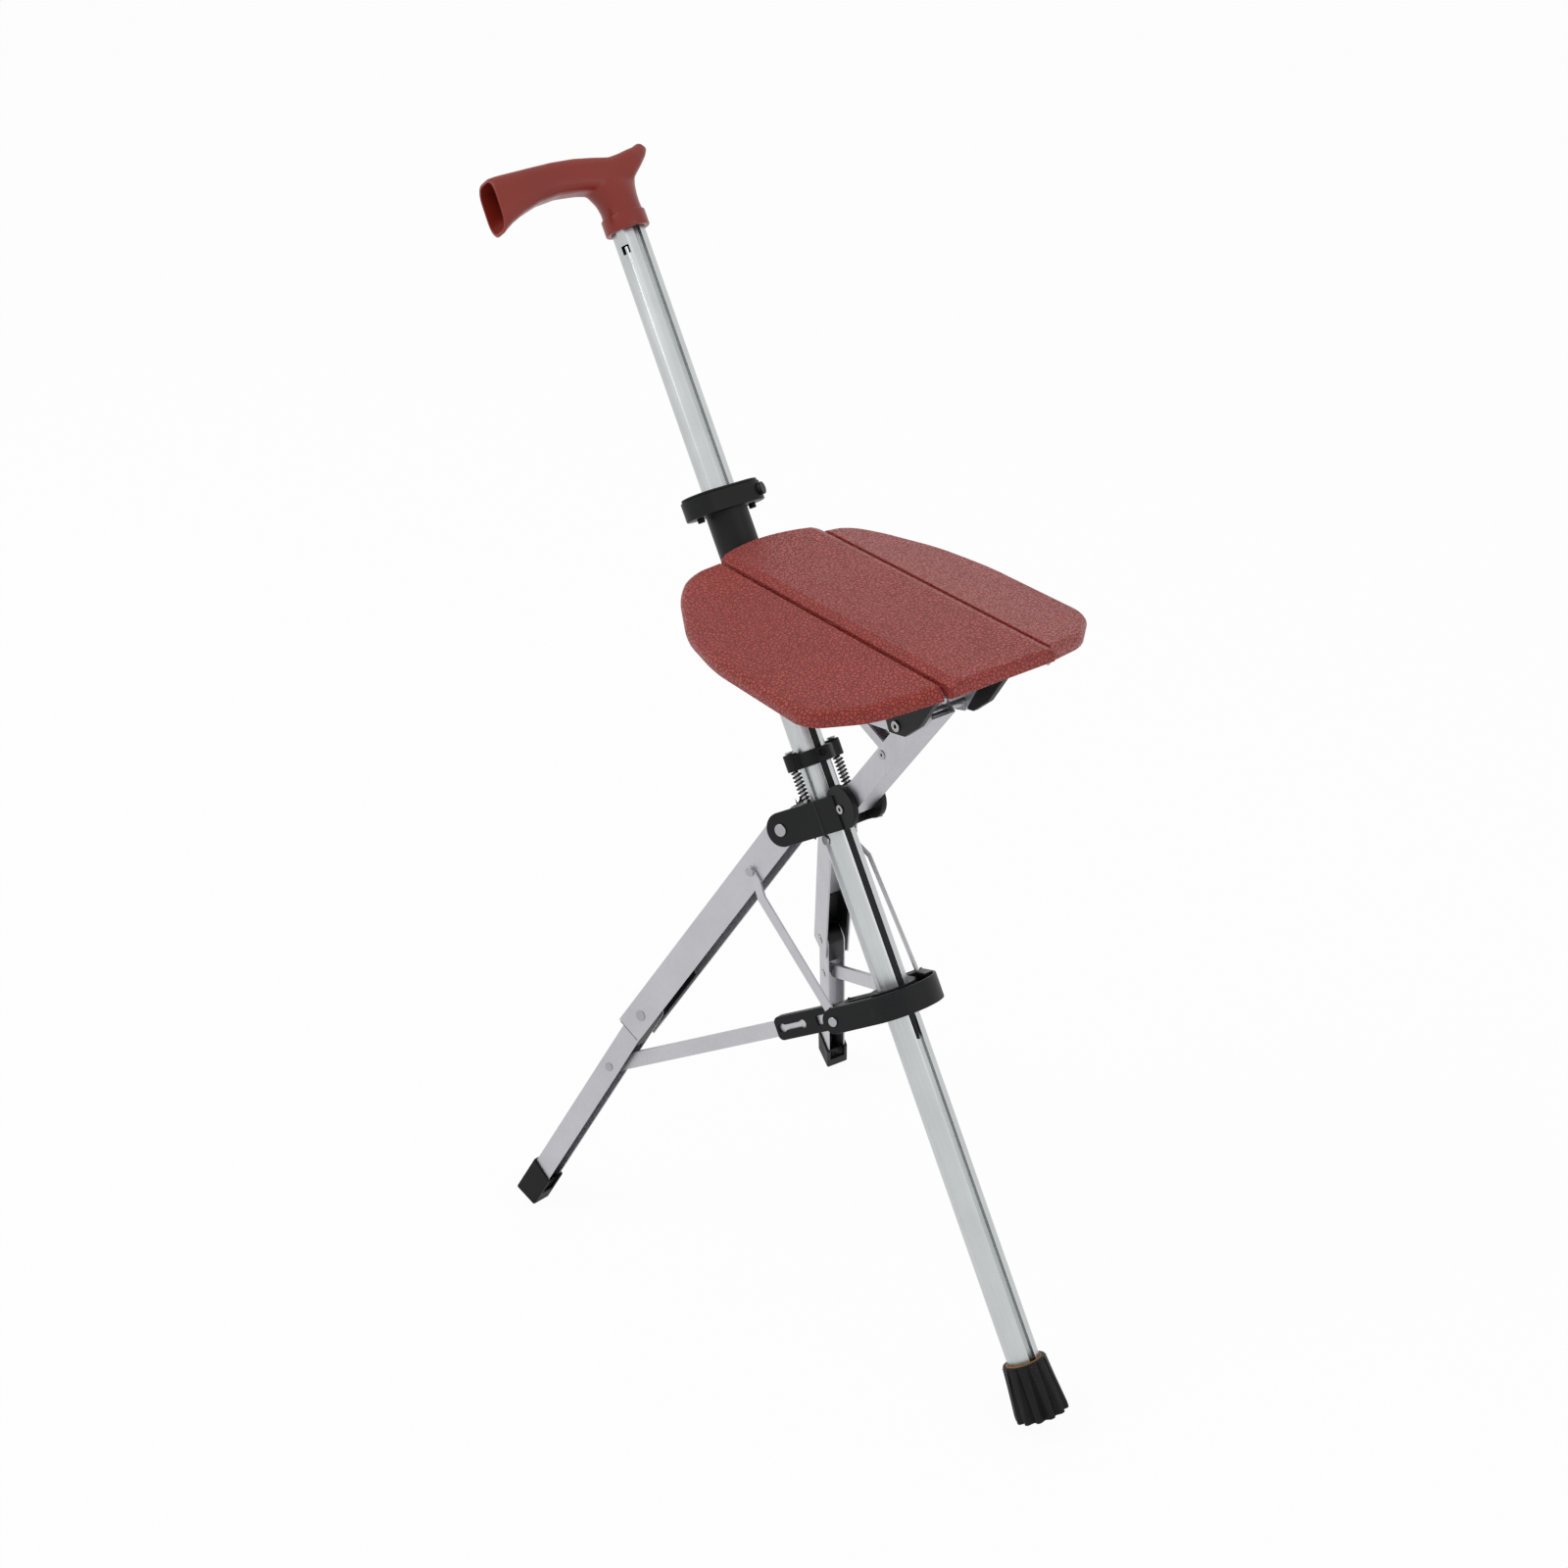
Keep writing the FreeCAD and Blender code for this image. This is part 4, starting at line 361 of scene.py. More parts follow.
def place_of(tree, turn=(0.0, 0.0, 0.0), stretch=(1.0, 1.0, 1.0)):
    """Object coordinates, turned to a piece's own direction and stretched."""
    coordinates = tree.nodes.new("ShaderNodeTexCoord")
    mapping = tree.nodes.new("ShaderNodeMapping")
    mapping.vector_type = "TEXTURE"
    mapping.inputs["Rotation"].default_value = turn
    mapping.inputs["Scale"].default_value = stretch
    tree.links.new(coordinates.outputs["Object"], mapping.inputs["Vector"])
    return mapping.outputs["Vector"]


def pebble_group():
    """Leather grain: rounded pebbles with creases between them."""
    tree, given, result = group_of(
        "Pebbled grain",
        [("Vector", "vector", None), ("Size", "value", 0.0026)],
        [("Height", "value"), ("Crease", "value"), ("Patch", "value")])
    scale = maths(tree, "DIVIDE", 1.0, given.outputs["Size"])
    warp = node(tree, "TexNoise", [("Vector", given.outputs["Vector"])], Scale=190.0, Detail=2.0)
    bend = tree.nodes.new("ShaderNodeVectorMath")
    bend.operation = "MULTIPLY_ADD"
    tree.links.new(warp.outputs["Color"], bend.inputs[0])
    bend.inputs[1].default_value = (0.0022, 0.0022, 0.0022)
    tree.links.new(given.outputs["Vector"], bend.inputs[2])
    cells = node(tree, "TexVoronoi", [("Vector", bend.outputs[0]), ("Scale", scale)],
                 feature="DISTANCE_TO_EDGE")
    crease = fit(tree, cells.outputs["Distance"], 0.0, 0.16)
    fine = node(tree, "TexNoise", [("Vector", given.outputs["Vector"])], Scale=1500.0, Detail=3.0)
    broad = node(tree, "TexNoise", [("Vector", given.outputs["Vector"])], Scale=26.0, Detail=3.0)
    crown = maths(tree, "POWER", crease, 0.55)
    height = maths(tree, "ADD", crown, maths(tree, "MULTIPLY", fine.outputs["Fac"], 0.35))
    tree.links.new(height, result.inputs["Height"])
    tree.links.new(maths(tree, "SUBTRACT", 1.0, crease), result.inputs["Crease"])
    tree.links.new(broad.outputs["Fac"], result.inputs["Patch"])
    return tree


def drawn_group():
    """Drawn and anodised metal: faint lines along a piece and soft uneven patches."""
    tree, given, result = group_of(
        "Drawn metal", [("Along", "vector", None), ("Plain", "vector", None)],
        [("Height", "value"), ("Line", "value"), ("Patch", "value")])
    lines = node(tree, "TexNoise", [("Vector", given.outputs["Along"])], Scale=1400.0, Detail=4.0)
    fine = node(tree, "TexNoise", [("Vector", given.outputs["Plain"])], Scale=2600.0, Detail=2.0)
    broad = node(tree, "TexNoise", [("Vector", given.outputs["Plain"])], Scale=34.0, Detail=3.0)
    height = maths(tree, "ADD", lines.outputs["Fac"], maths(tree, "MULTIPLY", fine.outputs["Fac"], 0.6))
    tree.links.new(height, result.inputs["Height"])
    tree.links.new(lines.outputs["Fac"], result.inputs["Line"])
    tree.links.new(broad.outputs["Fac"], result.inputs["Patch"])
    return tree


def use_group():
    """Signs of use: worn edges, and dust in fine specks."""
    tree, given, result = group_of(
        "Signs of use", [("Vector", "vector", None), ("Edge", "value", 0.56)],
        [("Wear", "value"), ("Dust", "value")])
    geometry = tree.nodes.new("ShaderNodeNewGeometry")
    rough = node(tree, "TexNoise", [("Vector", given.outputs["Vector"])], Scale=420.0, Detail=4.0)
    edge = maths(tree, "SUBTRACT", geometry.outputs["Pointiness"], given.outputs["Edge"])
    wear = fit(tree, maths(tree, "ADD", edge, fit(tree, rough.outputs["Fac"], 0.3, 0.7, -0.03, 0.03)),
               0.0, 0.06)
    specks = node(tree, "TexNoise", [("Vector", given.outputs["Vector"])], Scale=900.0, Detail=2.0)
    patches = node(tree, "TexNoise", [("Vector", given.outputs["Vector"])], Scale=40.0, Detail=2.0)
    dust = maths(tree, "MULTIPLY", fit(tree, specks.outputs["Fac"], 0.62, 0.78),
                 fit(tree, patches.outputs["Fac"], 0.4, 0.7))
    tree.links.new(wear, result.inputs["Wear"])
    tree.links.new(dust, result.inputs["Dust"])
    return tree


def placed(tree, group, **sources):
    made = tree.nodes.new("ShaderNodeGroup")
    made.node_tree = bpy.data.node_groups[group]
    for name, source in sources.items():
        if isinstance(source, (int, float)):
            made.inputs[name].default_value = source
        else:
            tree.links.new(source, made.inputs[name])
    return made


def bump(tree, main, height, strength, distance):
    made = node(tree, "Bump", [("Height", height)], Strength=strength, Distance=distance)
    tree.links.new(made.outputs["Normal"], main.inputs["Normal"])


def tint(base, factor):
    return tuple(min(part * factor, 1.0) for part in base)


def leather_red(name, base, size, depth, rough=(0.34, 0.6)):
    """Moulded plastic with leather grain, with painted shade darkening its creases."""
    material, main = shader(name)
    tree = material.node_tree
    at = place_of(tree)
    grain = placed(tree, "Pebbled grain", Vector=at, Size=size)
    use = placed(tree, "Signs of use", Vector=at)
    patch = fit(tree, grain.outputs["Patch"], 0.3, 0.7)
    plain = blend(tree, patch, tint(base, 0.93), tint(base, 1.07))
    # Painted shade: the grain's creases are darkened towards half the base colour, in place of the shade
    # falling into them.
    crease_shaded = blend(tree, maths(tree, "MULTIPLY", grain.outputs["Crease"], 0.72), plain, tint(base, 0.5))
    dusty = blend(tree, maths(tree, "MULTIPLY", use.outputs["Dust"], 0.05), crease_shaded, (0.75, 0.62, 0.58))
    tree.links.new(dusty, main.inputs["Base Color"])
    tree.links.new(fit(tree, grain.outputs["Crease"], 0.0, 1.0, *rough), main.inputs["Roughness"])
    bump(tree, main, grain.outputs["Height"], 1.0, depth)
    main.inputs["Specular IOR Level"].default_value = 0.45
    return material


def grip_red(name, base, size):
    """The grip: fine grain on the top with painted shade in its creases, and smooth, glossier sides."""
    material, main = shader(name)
    tree = material.node_tree
    at = place_of(tree)
    grain = placed(tree, "Pebbled grain", Vector=at, Size=size)
    geometry = tree.nodes.new("ShaderNodeNewGeometry")
    dot = tree.nodes.new("ShaderNodeVectorMath")
    dot.operation = "DOT_PRODUCT"
    dot.inputs[1].default_value = ALONG
    tree.links.new(geometry.outputs["True Normal"], dot.inputs[0])
    top = fit(tree, dot.outputs["Value"], 0.25, 0.45)
    patch = fit(tree, grain.outputs["Patch"], 0.3, 0.7)
    plain = blend(tree, patch, tint(base, 0.92), tint(base, 1.06))
    # Painted shade: the grain's creases on the grip's top are darkened towards 0.6 of the base colour.
    crease_shade_mask = maths(tree, "MULTIPLY", grain.outputs["Crease"], top)
    crease_shaded_grip = blend(tree, maths(tree, "MULTIPLY", crease_shade_mask, 0.3), plain, tint(base, 0.6))
    tree.links.new(crease_shaded_grip, main.inputs["Base Color"])
    tree.links.new(fit(tree, top, 0.0, 1.0, 0.3, 0.5), main.inputs["Roughness"])
    bump(tree, main, maths(tree, "MULTIPLY", grain.outputs["Height"], fit(tree, top, 0.0, 1.0, 0.12, 1.0)),
         1.0, 0.00009)
    main.inputs["Specular IOR Level"].default_value = 0.4
    return material


def metal(name, base, direction, rough=(0.3, 0.42), lines=0.35, depth=0.00002):
    """Satin metal with faint drawn lines along a direction."""
    material, main = shader(name)
    tree = material.node_tree
    turn = Vector((0.0, 0.0, 1.0)).rotation_difference(Vector(direction)).to_euler()
    along = place_of(tree, tuple(turn), (1.0, 1.0, 60.0))
    plain = place_of(tree)
    drawn = placed(tree, "Drawn metal", Along=along, Plain=plain)
    use = placed(tree, "Signs of use", Vector=plain)
    patch = fit(tree, drawn.outputs["Patch"], 0.3, 0.7)
    toned = blend(tree, patch, tint(base, 0.95), tint(base, 1.03))
    lined = blend(tree, maths(tree, "MULTIPLY", fit(tree, drawn.outputs["Line"], 0.45, 0.7), lines),
                  toned, tint(base, 0.86))
    worn = blend(tree, maths(tree, "MULTIPLY", use.outputs["Wear"], 0.3), lined, tint(base, 1.12))
    tree.links.new(worn, main.inputs["Base Color"])
    tree.links.new(fit(tree, drawn.outputs["Line"], 0.3, 0.7, *rough), main.inputs["Roughness"])
    main.inputs["Metallic"].default_value = 1.0
    bump(tree, main, drawn.outputs["Height"], 0.5, depth)
    return material


def moulded(name, base, rough=(0.38, 0.5), grain=1500.0, depth=0.00004, dust=0.08, gleam=0.22):
    """Black moulded plastic or rubber with a fine skin and paler worn edges."""
    material, main = shader(name)
    tree = material.node_tree
    at = place_of(tree)
    use = placed(tree, "Signs of use", Vector=at)
    skin = node(tree, "TexNoise", [("Vector", at)], Scale=grain, Detail=3.0)
    broad = node(tree, "TexNoise", [("Vector", at)], Scale=45.0, Detail=3.0)
    toned = blend(tree, fit(tree, broad.outputs["Fac"], 0.3, 0.7), tint(base, 0.8), tint(base, 1.25))
    worn = blend(tree, maths(tree, "MULTIPLY", use.outputs["Wear"], 0.35), toned, tint(base, 3.2))
    dusty = blend(tree, maths(tree, "MULTIPLY", use.outputs["Dust"], dust), worn, (0.4, 0.38, 0.35))
    tree.links.new(dusty, main.inputs["Base Color"])
    tree.links.new(fit(tree, broad.outputs["Fac"], 0.3, 0.7, *rough), main.inputs["Roughness"])
    bump(tree, main, skin.outputs["Fac"], 0.6, depth)
    main.inputs["Specular IOR Level"].default_value = gleam
    return material


def make_materials():
    for build in (pebble_group, drawn_group, use_group):
        build()
    tone = finishes()
    leather_red("seat leather grain", tuple(tone.seat_red), tone.pebble_size, tone.pebble_depth)
    grip_red("grip red", tuple(tone.grip_red), tone.grip_grain)
    metal("anodised tube", tuple(tone.silver), ALONG)
    metal("leg metal", tuple(tone.leg_silver), (0.0, 0.0, 1.0), (0.36, 0.5), 0.2)
    metal("rivet steel", tuple(tone.steel), (1.0, 0.0, 0.0), (0.24, 0.38), 0.15)
    moulded("black moulding", tuple(tone.black))
    moulded("black spring wire", tuple(tone.black), (0.4, 0.5), 2600.0, 0.00001, 0.02, 0.12)
    moulded("foot rubber", tuple(tone.rubber), (0.5, 0.66), 900.0, 0.00007, 0.22)
    moulded("tan band", tuple(tone.tan), (0.5, 0.62), 1500.0, 0.00005, 0.2)


def material(name):
    return bpy.data.materials[name]


SLOT_MATERIALS = {
    "anodised_tube": "anodised tube", "leg_metal": "leg metal", "black_plastic": "black moulding",
    "rubber": "foot rubber", "handle_plastic": "grip red", "seat_plastic": "seat leather grain",
    "steel": "rivet steel", "spring_steel": "black spring wire", "tan_band": "tan band",
}


def slot_of(node_name):
    return frame["nodes"][node_name].data.materials[0].name.split(".")[0]


def body_of(node_name):
    for body, members in frame["record"]["behaviour"]["bodies"].items():
        if node_name in members:
            return body
    raise RuntimeError("no body holds " + node_name)


def ease_nodes(names, ease, segments=2, sharp=34.0, weighted=True):
    for name in names:
        piece = eased_copy(name, ease, segments, sharp, weighted)
        slot = slot_of(name)
        hand_over(piece, body_of(name), slot, material(SLOT_MATERIALS[slot]), name)


# Pieces


# The grip's sections, from its open end to the tip of the thumb horn: place across the stick,
# height up the stick, half height, half width, and the turn of the section, in mm and degrees.
GRIP_SECTIONS = (
    (-98.0, 845.6, 18.8, 12.0, -7.0),
    (-90.0, 848.8, 16.8, 12.0, -7.0),
    (-83.0, 851.3, 15.4, 12.0, -5.0),
    (-72.0, 854.0, 13.3, 11.6, -4.0),
    (-58.0, 856.6, 11.4, 11.1, -3.0),
    (-42.0, 858.0, 10.7, 11.0, 0.0),
    (-26.0, 857.5, 10.9, 11.0, 2.0),
    (-12.0, 855.6, 11.2, 11.1, 4.0),
    (0.0, 854.4, 10.6, 11.3, 2.0),
    (11.0, 856.8, 9.6, 11.2, -14.0),
    (18.5, 861.2, 7.2, 10.6, -28.0),
    (25.0, 864.7, 5.1, 8.8, -36.0),
    (29.0, 868.1, 3.8, 6.8, -44.0),
)
# The place of the open end's plane, in mm.
GRIP_END = -89.0
# The neck's sections: height, shift across the stick, half depth and half width, in mm.
NECK_SECTIONS = (
    (827.0, 0.0, 13.6, 13.6), (832.0, 0.0, 13.2, 13.2), (838.0, -0.6, 13.0, 14.2),
    (844.0, -2.0, 12.4, 17.0), (850.0, -3.6, 11.4, 21.0), (856.0, -4.5, 9.0, 22.0),
)


def grip_bar():
    """A rounded section drawn out along the grip, station by station."""
    bpy.ops.mesh.primitive_plane_add(size=2.0, location=(0.0, 0.0, 0.0))
    bar = active_piece("grip_bar")
    edit(bar)
    bpy.ops.mesh.select_all(action="SELECT")
    bpy.ops.mesh.bevel(offset=0.62, segments=6, affect="VERTICES")
    leave()
    bar.rotation_euler = Euler((math.radians(90.0), 0.0, 0.0))
    first = GRIP_SECTIONS[0]
    bar.scale = (first[3] * MM, first[2] * MM, 1.0)
    bar.location = (0.0, first[0] * MM, first[1] * MM)
    pick(bar)
    bpy.ops.object.transform_apply(location=True, rotation=True, scale=True)
    edit(bar)
    bpy.ops.mesh.select_all(action="SELECT")
    last = first
    for station in GRIP_SECTIONS[1:]:
        place, height, tall, wide, turn = station
        centre = (0.0, place * MM, height * MM)
        step = (0.0, (place - last[0]) * MM, (height - last[1]) * MM)
        bpy.ops.mesh.extrude_region_move(TRANSFORM_OT_translate={"value": step})
        bpy.ops.transform.resize(value=(wide / last[3], 1.0, tall / last[2]), center_override=centre)
        last = station
    leave()
    face_out(bar)
    return bar


def tilt_sections(bar):
    """Turn each section square to the grip's curve."""
    edit(bar)
    for place, height, tall, wide, turn in GRIP_SECTIONS:
        if not turn:
            continue
        choose(bar, "VERT", lambda v, y=place * MM: abs(v.co.y - y) < 0.00002)
        bpy.ops.transform.rotate(value=math.radians(turn), orient_axis="X",
                                 center_override=(0.0, place * MM, height * MM))
    leave()


def neck_of_grip():
    """The neck that widens from the collar into the grip."""
    bpy.ops.mesh.primitive_circle_add(vertices=40, radius=1.0, fill_type="NGON")
    neck = active_piece("grip_neck")
    first = NECK_SECTIONS[0]
    neck.scale = (first[2] * MM, first[3] * MM, 1.0)
    neck.location = (0.0, first[1] * MM, first[0] * MM)
    pick(neck)
    bpy.ops.object.transform_apply(location=True, rotation=True, scale=True)
    edit(neck)
    bpy.ops.mesh.select_all(action="SELECT")
    last = first
    for height, shift, deep, wide in NECK_SECTIONS[1:]:
        step = (0.0, (shift - last[1]) * MM, (height - last[0]) * MM)
        bpy.ops.mesh.extrude_region_move(TRANSFORM_OT_translate={"value": step})
        bpy.ops.transform.resize(value=(deep / last[2], wide / last[3], 1.0),
                                 center_override=(0.0, shift * MM, height * MM))
        last = (height, shift, deep, wide)
    leave()
    face_out(neck)
    return neck


def box_of_chosen(piece):
    """The middle of the box round the selected corners, with its half width and half height."""
    corners = [v.co for v in bmesh.from_edit_mesh(piece.data).verts if v.select]
    low = Vector([min(c[i] for c in corners) for i in range(3)])
    high = Vector([max(c[i] for c in corners) for i in range(3)])
    half = (high - low) / 2
    return (low + high) / 2, half.x, half.z


def draw_end(centre, step, shares):
    """Draw the selected end face a step further, and resize it about a centre."""
    bpy.ops.mesh.extrude_region_move(TRANSFORM_OT_translate={"value": step})
    bpy.ops.transform.resize(value=(shares[0], 1.0, shares[1]), center_override=centre + step)
    return centre + step


def open_end(grip):
    """Cut the grip's end square, round its rim and press the hollow in."""
    normal = Vector((0.0, -1.0, 0.02)).normalized()
    place = Vector((0.0, GRIP_END * MM, GRIP_SECTIONS[1][1] * MM))
    edit(grip)
    bpy.ops.mesh.select_all(action="SELECT")
    bpy.ops.mesh.bisect(plane_co=place, plane_no=normal, use_fill=True, clear_outer=True)
    choose(grip, "FACE", lambda f: f.normal.dot(normal) > 0.999 and f.calc_area() > 0.0001)
    centre, wide, tall = box_of_chosen(grip)
    wall = shape().grip_wall
    rim = (1.0 - wall * 0.3 / wide, 1.0 - wall * 0.3 / tall)
    lip = (1.0 - wall * 0.7 / wide, 1.0 - wall * 0.7 / tall)
    centre = draw_end(centre, normal * 0.0006, rim)
    centre = draw_end(centre, normal * 0.0, lip)
    centre = draw_end(centre, normal * -0.0008, (0.99, 0.99))
    deepest = GRIP_END + shape().grip_hollow / MM
    last = GRIP_SECTIONS[1]
    for station in GRIP_SECTIONS[2:]:
        if station[0] > deepest:
            break
        step = Vector((0.0, station[0] * MM - centre.y, (station[1] - last[1]) * MM))
        narrower = (station[2] * MM - wall) / (last[2] * MM - wall)
        centre = draw_end(centre, step, (0.98, narrower))
        last = station
    leave()


COLLAR_RADIUS, COLLAR_HEIGHT, COLLAR_MIDDLE = 0.0148, 0.0105, 0.82225


def collar_of_grip():
    """The round collar at the foot of the handle, with its eased rims."""
    bpy.ops.mesh.primitive_cylinder_add(vertices=64, radius=COLLAR_RADIUS, depth=COLLAR_HEIGHT,
                                        location=(0.0, 0.0, COLLAR_MIDDLE))
    collar = active_piece("grip_collar")
    pick(collar)
    bpy.ops.object.transform_apply(location=True, rotation=True, scale=True)
    edit(collar)
    choose(collar, "FACE", lambda f: f.normal.z < -0.9)
    bpy.ops.mesh.inset(thickness=0.0037)
    bpy.ops.mesh.extrude_region_move(TRANSFORM_OT_translate={"value": (0.0, 0.0, 0.009)})
    choose(collar, "FACE", lambda f: f.normal.z > 0.9 and f.calc_center_median().z > 0.827)
    bpy.ops.mesh.inset(thickness=0.0014)
    bpy.ops.mesh.extrude_region_move(TRANSFORM_OT_translate={"value": (0.0, 0.0, 0.0012)})
    leave()
    modify(collar, "BEVEL", width=0.0009, segments=3, limit_method="ANGLE",
           angle_limit=math.radians(50.0))
    return collar


class STICKSEAT_OT_handle(bpy.types.Operator):
    """Model the derby grip with its open end, thumb horn, neck and collar"""
    bl_idname = "stick_seat.handle"
    bl_label = "Handle"

    def execute(self, context):
        bar = grip_bar()
        tilt_sections(bar)
        neck = neck_of_grip()
        pick(neck, bar)
        bpy.ops.object.join()
        grip = active_piece("handle_grip")
        modify(grip, "REMESH", mode="VOXEL", voxel_size=0.0009)
        modify(grip, "SMOOTH", factor=0.5, iterations=14)
        open_end(grip)
        smooth(grip, 50.0)
        collar = collar_of_grip()
        smooth(collar)
        pick(collar, grip)
        bpy.ops.object.join()
        grip = active_piece("handle_grip")
        settle(grip, STICK)
        hand_over(grip, "cane", "handle_plastic", material("grip red"), "handle")
        return {"FINISHED"}


# Corners of a wing's outline, as shares of the seat's length and of the wing's reach.
WING_CORNERS = ((0.0, 0.0), (-0.018, 0.29), (0.045, 0.54), (0.216, 0.86), (0.396, 0.985), (0.793, 1.0),
                (0.91, 0.58), (0.977, 0.0))
SEAT_LENGTH = 0.222
WING_REACH = 0.0698
WING_INNER = 0.0007
WING_LOW, WING_TOP = 0.0005, 0.0099
WING_DROOP = math.radians(11.0)
HINGE_SIDE, HINGE_UNDER = 0.040, 0.0125
OUTER_CORNERS_FROM = 0.010


def wing_placement(side):
    hinge = Matrix.Translation(Vector((0.0, HINGE_SIDE * side, -HINGE_UNDER)))
    return SEAT @ hinge @ Matrix.Rotation(-WING_DROOP * side, 4, "X")


def wing_blank(name, side):
    """A block trimmed along the wing's outline, with its outer corners rounded."""
    bpy.ops.mesh.primitive_cube_add(size=1.0, location=(0.11, 0.036 * side, (WING_LOW + WING_TOP) / 2),
                                    scale=(0.26, 0.08, WING_TOP - WING_LOW))
    blank = active_piece(name)
    pick(blank)
    bpy.ops.object.transform_apply(location=True, rotation=True, scale=True)
    corners = [Vector((SEAT_LENGTH * along, (WING_INNER + WING_REACH * out) * side, 0.0))
               for along, out in WING_CORNERS]
    centre = sum(corners, Vector()) / len(corners)
    edit(blank)
    for start, end in zip(corners, corners[1:] + corners[:1]):
        run = end - start
        normal = Vector((run.y, -run.x, 0.0)).normalized()
        if (centre - start).dot(normal) > 0:
            normal = -normal
        bpy.ops.mesh.select_all(action="SELECT")
        bpy.ops.mesh.bisect(plane_co=start, plane_no=normal, use_fill=True, clear_outer=True)

    def is_outer_corner(edge):
        run = edge.verts[0].co - edge.verts[1].co
        upright = abs(run.z) > 0.005 and abs(run.x) < 0.0001
        return upright and abs(edge.verts[0].co.y) > OUTER_CORNERS_FROM

    choose(blank, "EDGE", is_outer_corner)
    bpy.ops.mesh.bevel(offset_type="OFFSET", offset=shape().wing_corner, segments=7, affect="EDGES")
    leave()
    return blank


def round_rim(panel, top, reach, segments, test):
    """Round the upper rim of a panel where a test allows."""
    edit(panel)

    def is_rim(edge):
        both = all(abs(v.co.z - top) < 0.0001 for v in edge.verts)
        return both and len(edge.link_faces) == 2 and test(middle(edge)) and any(
            abs(face.normal.z) < 0.5 for face in edge.link_faces)

    choose(panel, "EDGE", is_rim)
    bpy.ops.mesh.bevel(offset_type="OFFSET", offset=reach, segments=segments, profile=0.5, affect="EDGES")
    leave()


def hollow_under(panel, low, wall, depth):
    """Press a moulded panel's underside in, leaving a rim."""
    edit(panel)
    choose(panel, "FACE", lambda f: f.normal.z < -0.9 and abs(f.calc_center_median().z - low) < 0.0001)
    bpy.ops.mesh.inset(thickness=wall)
    bpy.ops.mesh.extrude_region_move(TRANSFORM_OT_translate={"value": (0.0, 0.0, depth)})
    leave()


class STICKSEAT_OT_wings(bpy.types.Operator):
    """Model the two wing panels of the seat"""
    bl_idname = "stick_seat.wings"
    bl_label = "Seat wings"

    def execute(self, context):
        for name, side in SIDES:
            wing = wing_blank("seat_wing_panel_" + name, side)
            round_rim(wing, WING_TOP, shape().rim_round, 5, lambda at: abs(at.y) > WING_INNER + 0.0003)
            round_rim(wing, WING_TOP, 0.0009, 3, lambda at: abs(at.y) < WING_INNER + 0.0003)
            hollow_under(wing, WING_LOW, 0.0028, 0.0060)
            smooth(wing)
            modify(wing, "WEIGHTED_NORMAL", keep_sharp=True, weight=50)
            face_out(wing)
            settle(wing, wing_placement(side))
            hand_over(wing, "wing_" + name, "seat_plastic", material("seat leather grain"),
                      "seat_wing_" + name)
        return {"FINISHED"}


# The release springs in the stick's frame: their ends, their middle line and their coil.
SPRING_LOW, SPRING_HIGH = 0.43165, 0.45255
SPRING_FRONT, SPRING_SIDE = 0.002, 0.0172
COIL_RADIUS = 0.00285


class STICKSEAT_OT_springs(bpy.types.Operator):
    """Wind the two release springs"""
    bl_idname = "stick_seat.springs"
    bl_label = "Release springs"

    def execute(self, context):
        rise = SPRING_HIGH - SPRING_LOW
        for name, side in SIDES:
            bpy.ops.mesh.primitive_circle_add(vertices=10, radius=shape().spring_wire,
                                              fill_type="NOTHING",
                                              location=(COIL_RADIUS, 0.0, 0.0),
                                              rotation=(math.radians(90.0), 0.0, 0.0))
            spring = active_piece("release_spring_coil_" + name)
            pick(spring)
            bpy.ops.object.transform_apply(location=True, rotation=True, scale=True)
            turns = shape().spring_turns
            modify(spring, "SCREW", steps=24, render_steps=24, screw_offset=rise / turns,
                   iterations=turns, axis="Z")
            edit(spring)
            bpy.ops.mesh.select_all(action="DESELECT")
            bpy.ops.mesh.select_mode(type="EDGE")
            bpy.ops.mesh.select_non_manifold()
            bpy.ops.mesh.fill_holes(sides=0)
            leave()
            face_out(spring)
            smooth(spring, 60.0)
            place = Vector((SPRING_FRONT, SPRING_SIDE * side, SPRING_LOW))
            settle(spring, STICK @ Matrix.Translation(place))
            hand_over(spring, "cane", "spring_steel", material("black spring wire"),
                      "release_spring_" + name)
            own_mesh(spring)
        return {"FINISHED"}


class STICKSEAT_OT_stick(bpy.types.Operator):
    """Finish the stick tube and the ferrule with its band"""
    bl_idname = "stick_seat.stick"
    bl_label = "Stick and ferrule"

    def execute(self, context):
        ease_nodes(["stick_tube"], shape().sheet_ease, weighted=False)
        ease_nodes(["ferrule", "ferrule_band"], shape().ease * 0.8)
        return {"FINISHED"}


class STICKSEAT_OT_collars(bpy.types.Operator):
    """Finish the hub, the spring collar, the upper collar and the lower ring"""
    bl_idname = "stick_seat.collars"
    bl_label = "Hub, collars and ring"

    def execute(self, context):
        ease_nodes(["hub", "spring_collar", "slide_collar", "collar_plate", "slide_ring"], shape().ease)
        return {"FINISHED"}


class STICKSEAT_OT_legs(bpy.types.Operator):
    """Finish the legs with their knees and foot caps"""
    bl_idname = "stick_seat.legs"
    bl_label = "Legs, knees and foot caps"

    def execute(self, context):
        for name, _ in SIDES:
            ease_nodes(["upper_leg_" + name, "lower_leg_" + name], shape().sheet_ease)
            ease_nodes(["knee_block_" + name, "foot_cap_" + name], shape().ease)
        return {"FINISHED"}


class STICKSEAT_OT_links(bpy.types.Operator):
    """Finish the bent links, the link bars with their sheaths, the strut and the stay"""
    bl_idname = "stick_seat.links"
    bl_label = "Links, strut and stay"

    def execute(self, context):
        for name, _ in SIDES:
            ease_nodes(["bent_link_" + name, "link_bar_" + name], shape().sheet_ease)
            ease_nodes(["bar_sheath_" + name], shape().ease)
        ease_nodes(["strut", "stay"], shape().sheet_ease)
        return {"FINISHED"}


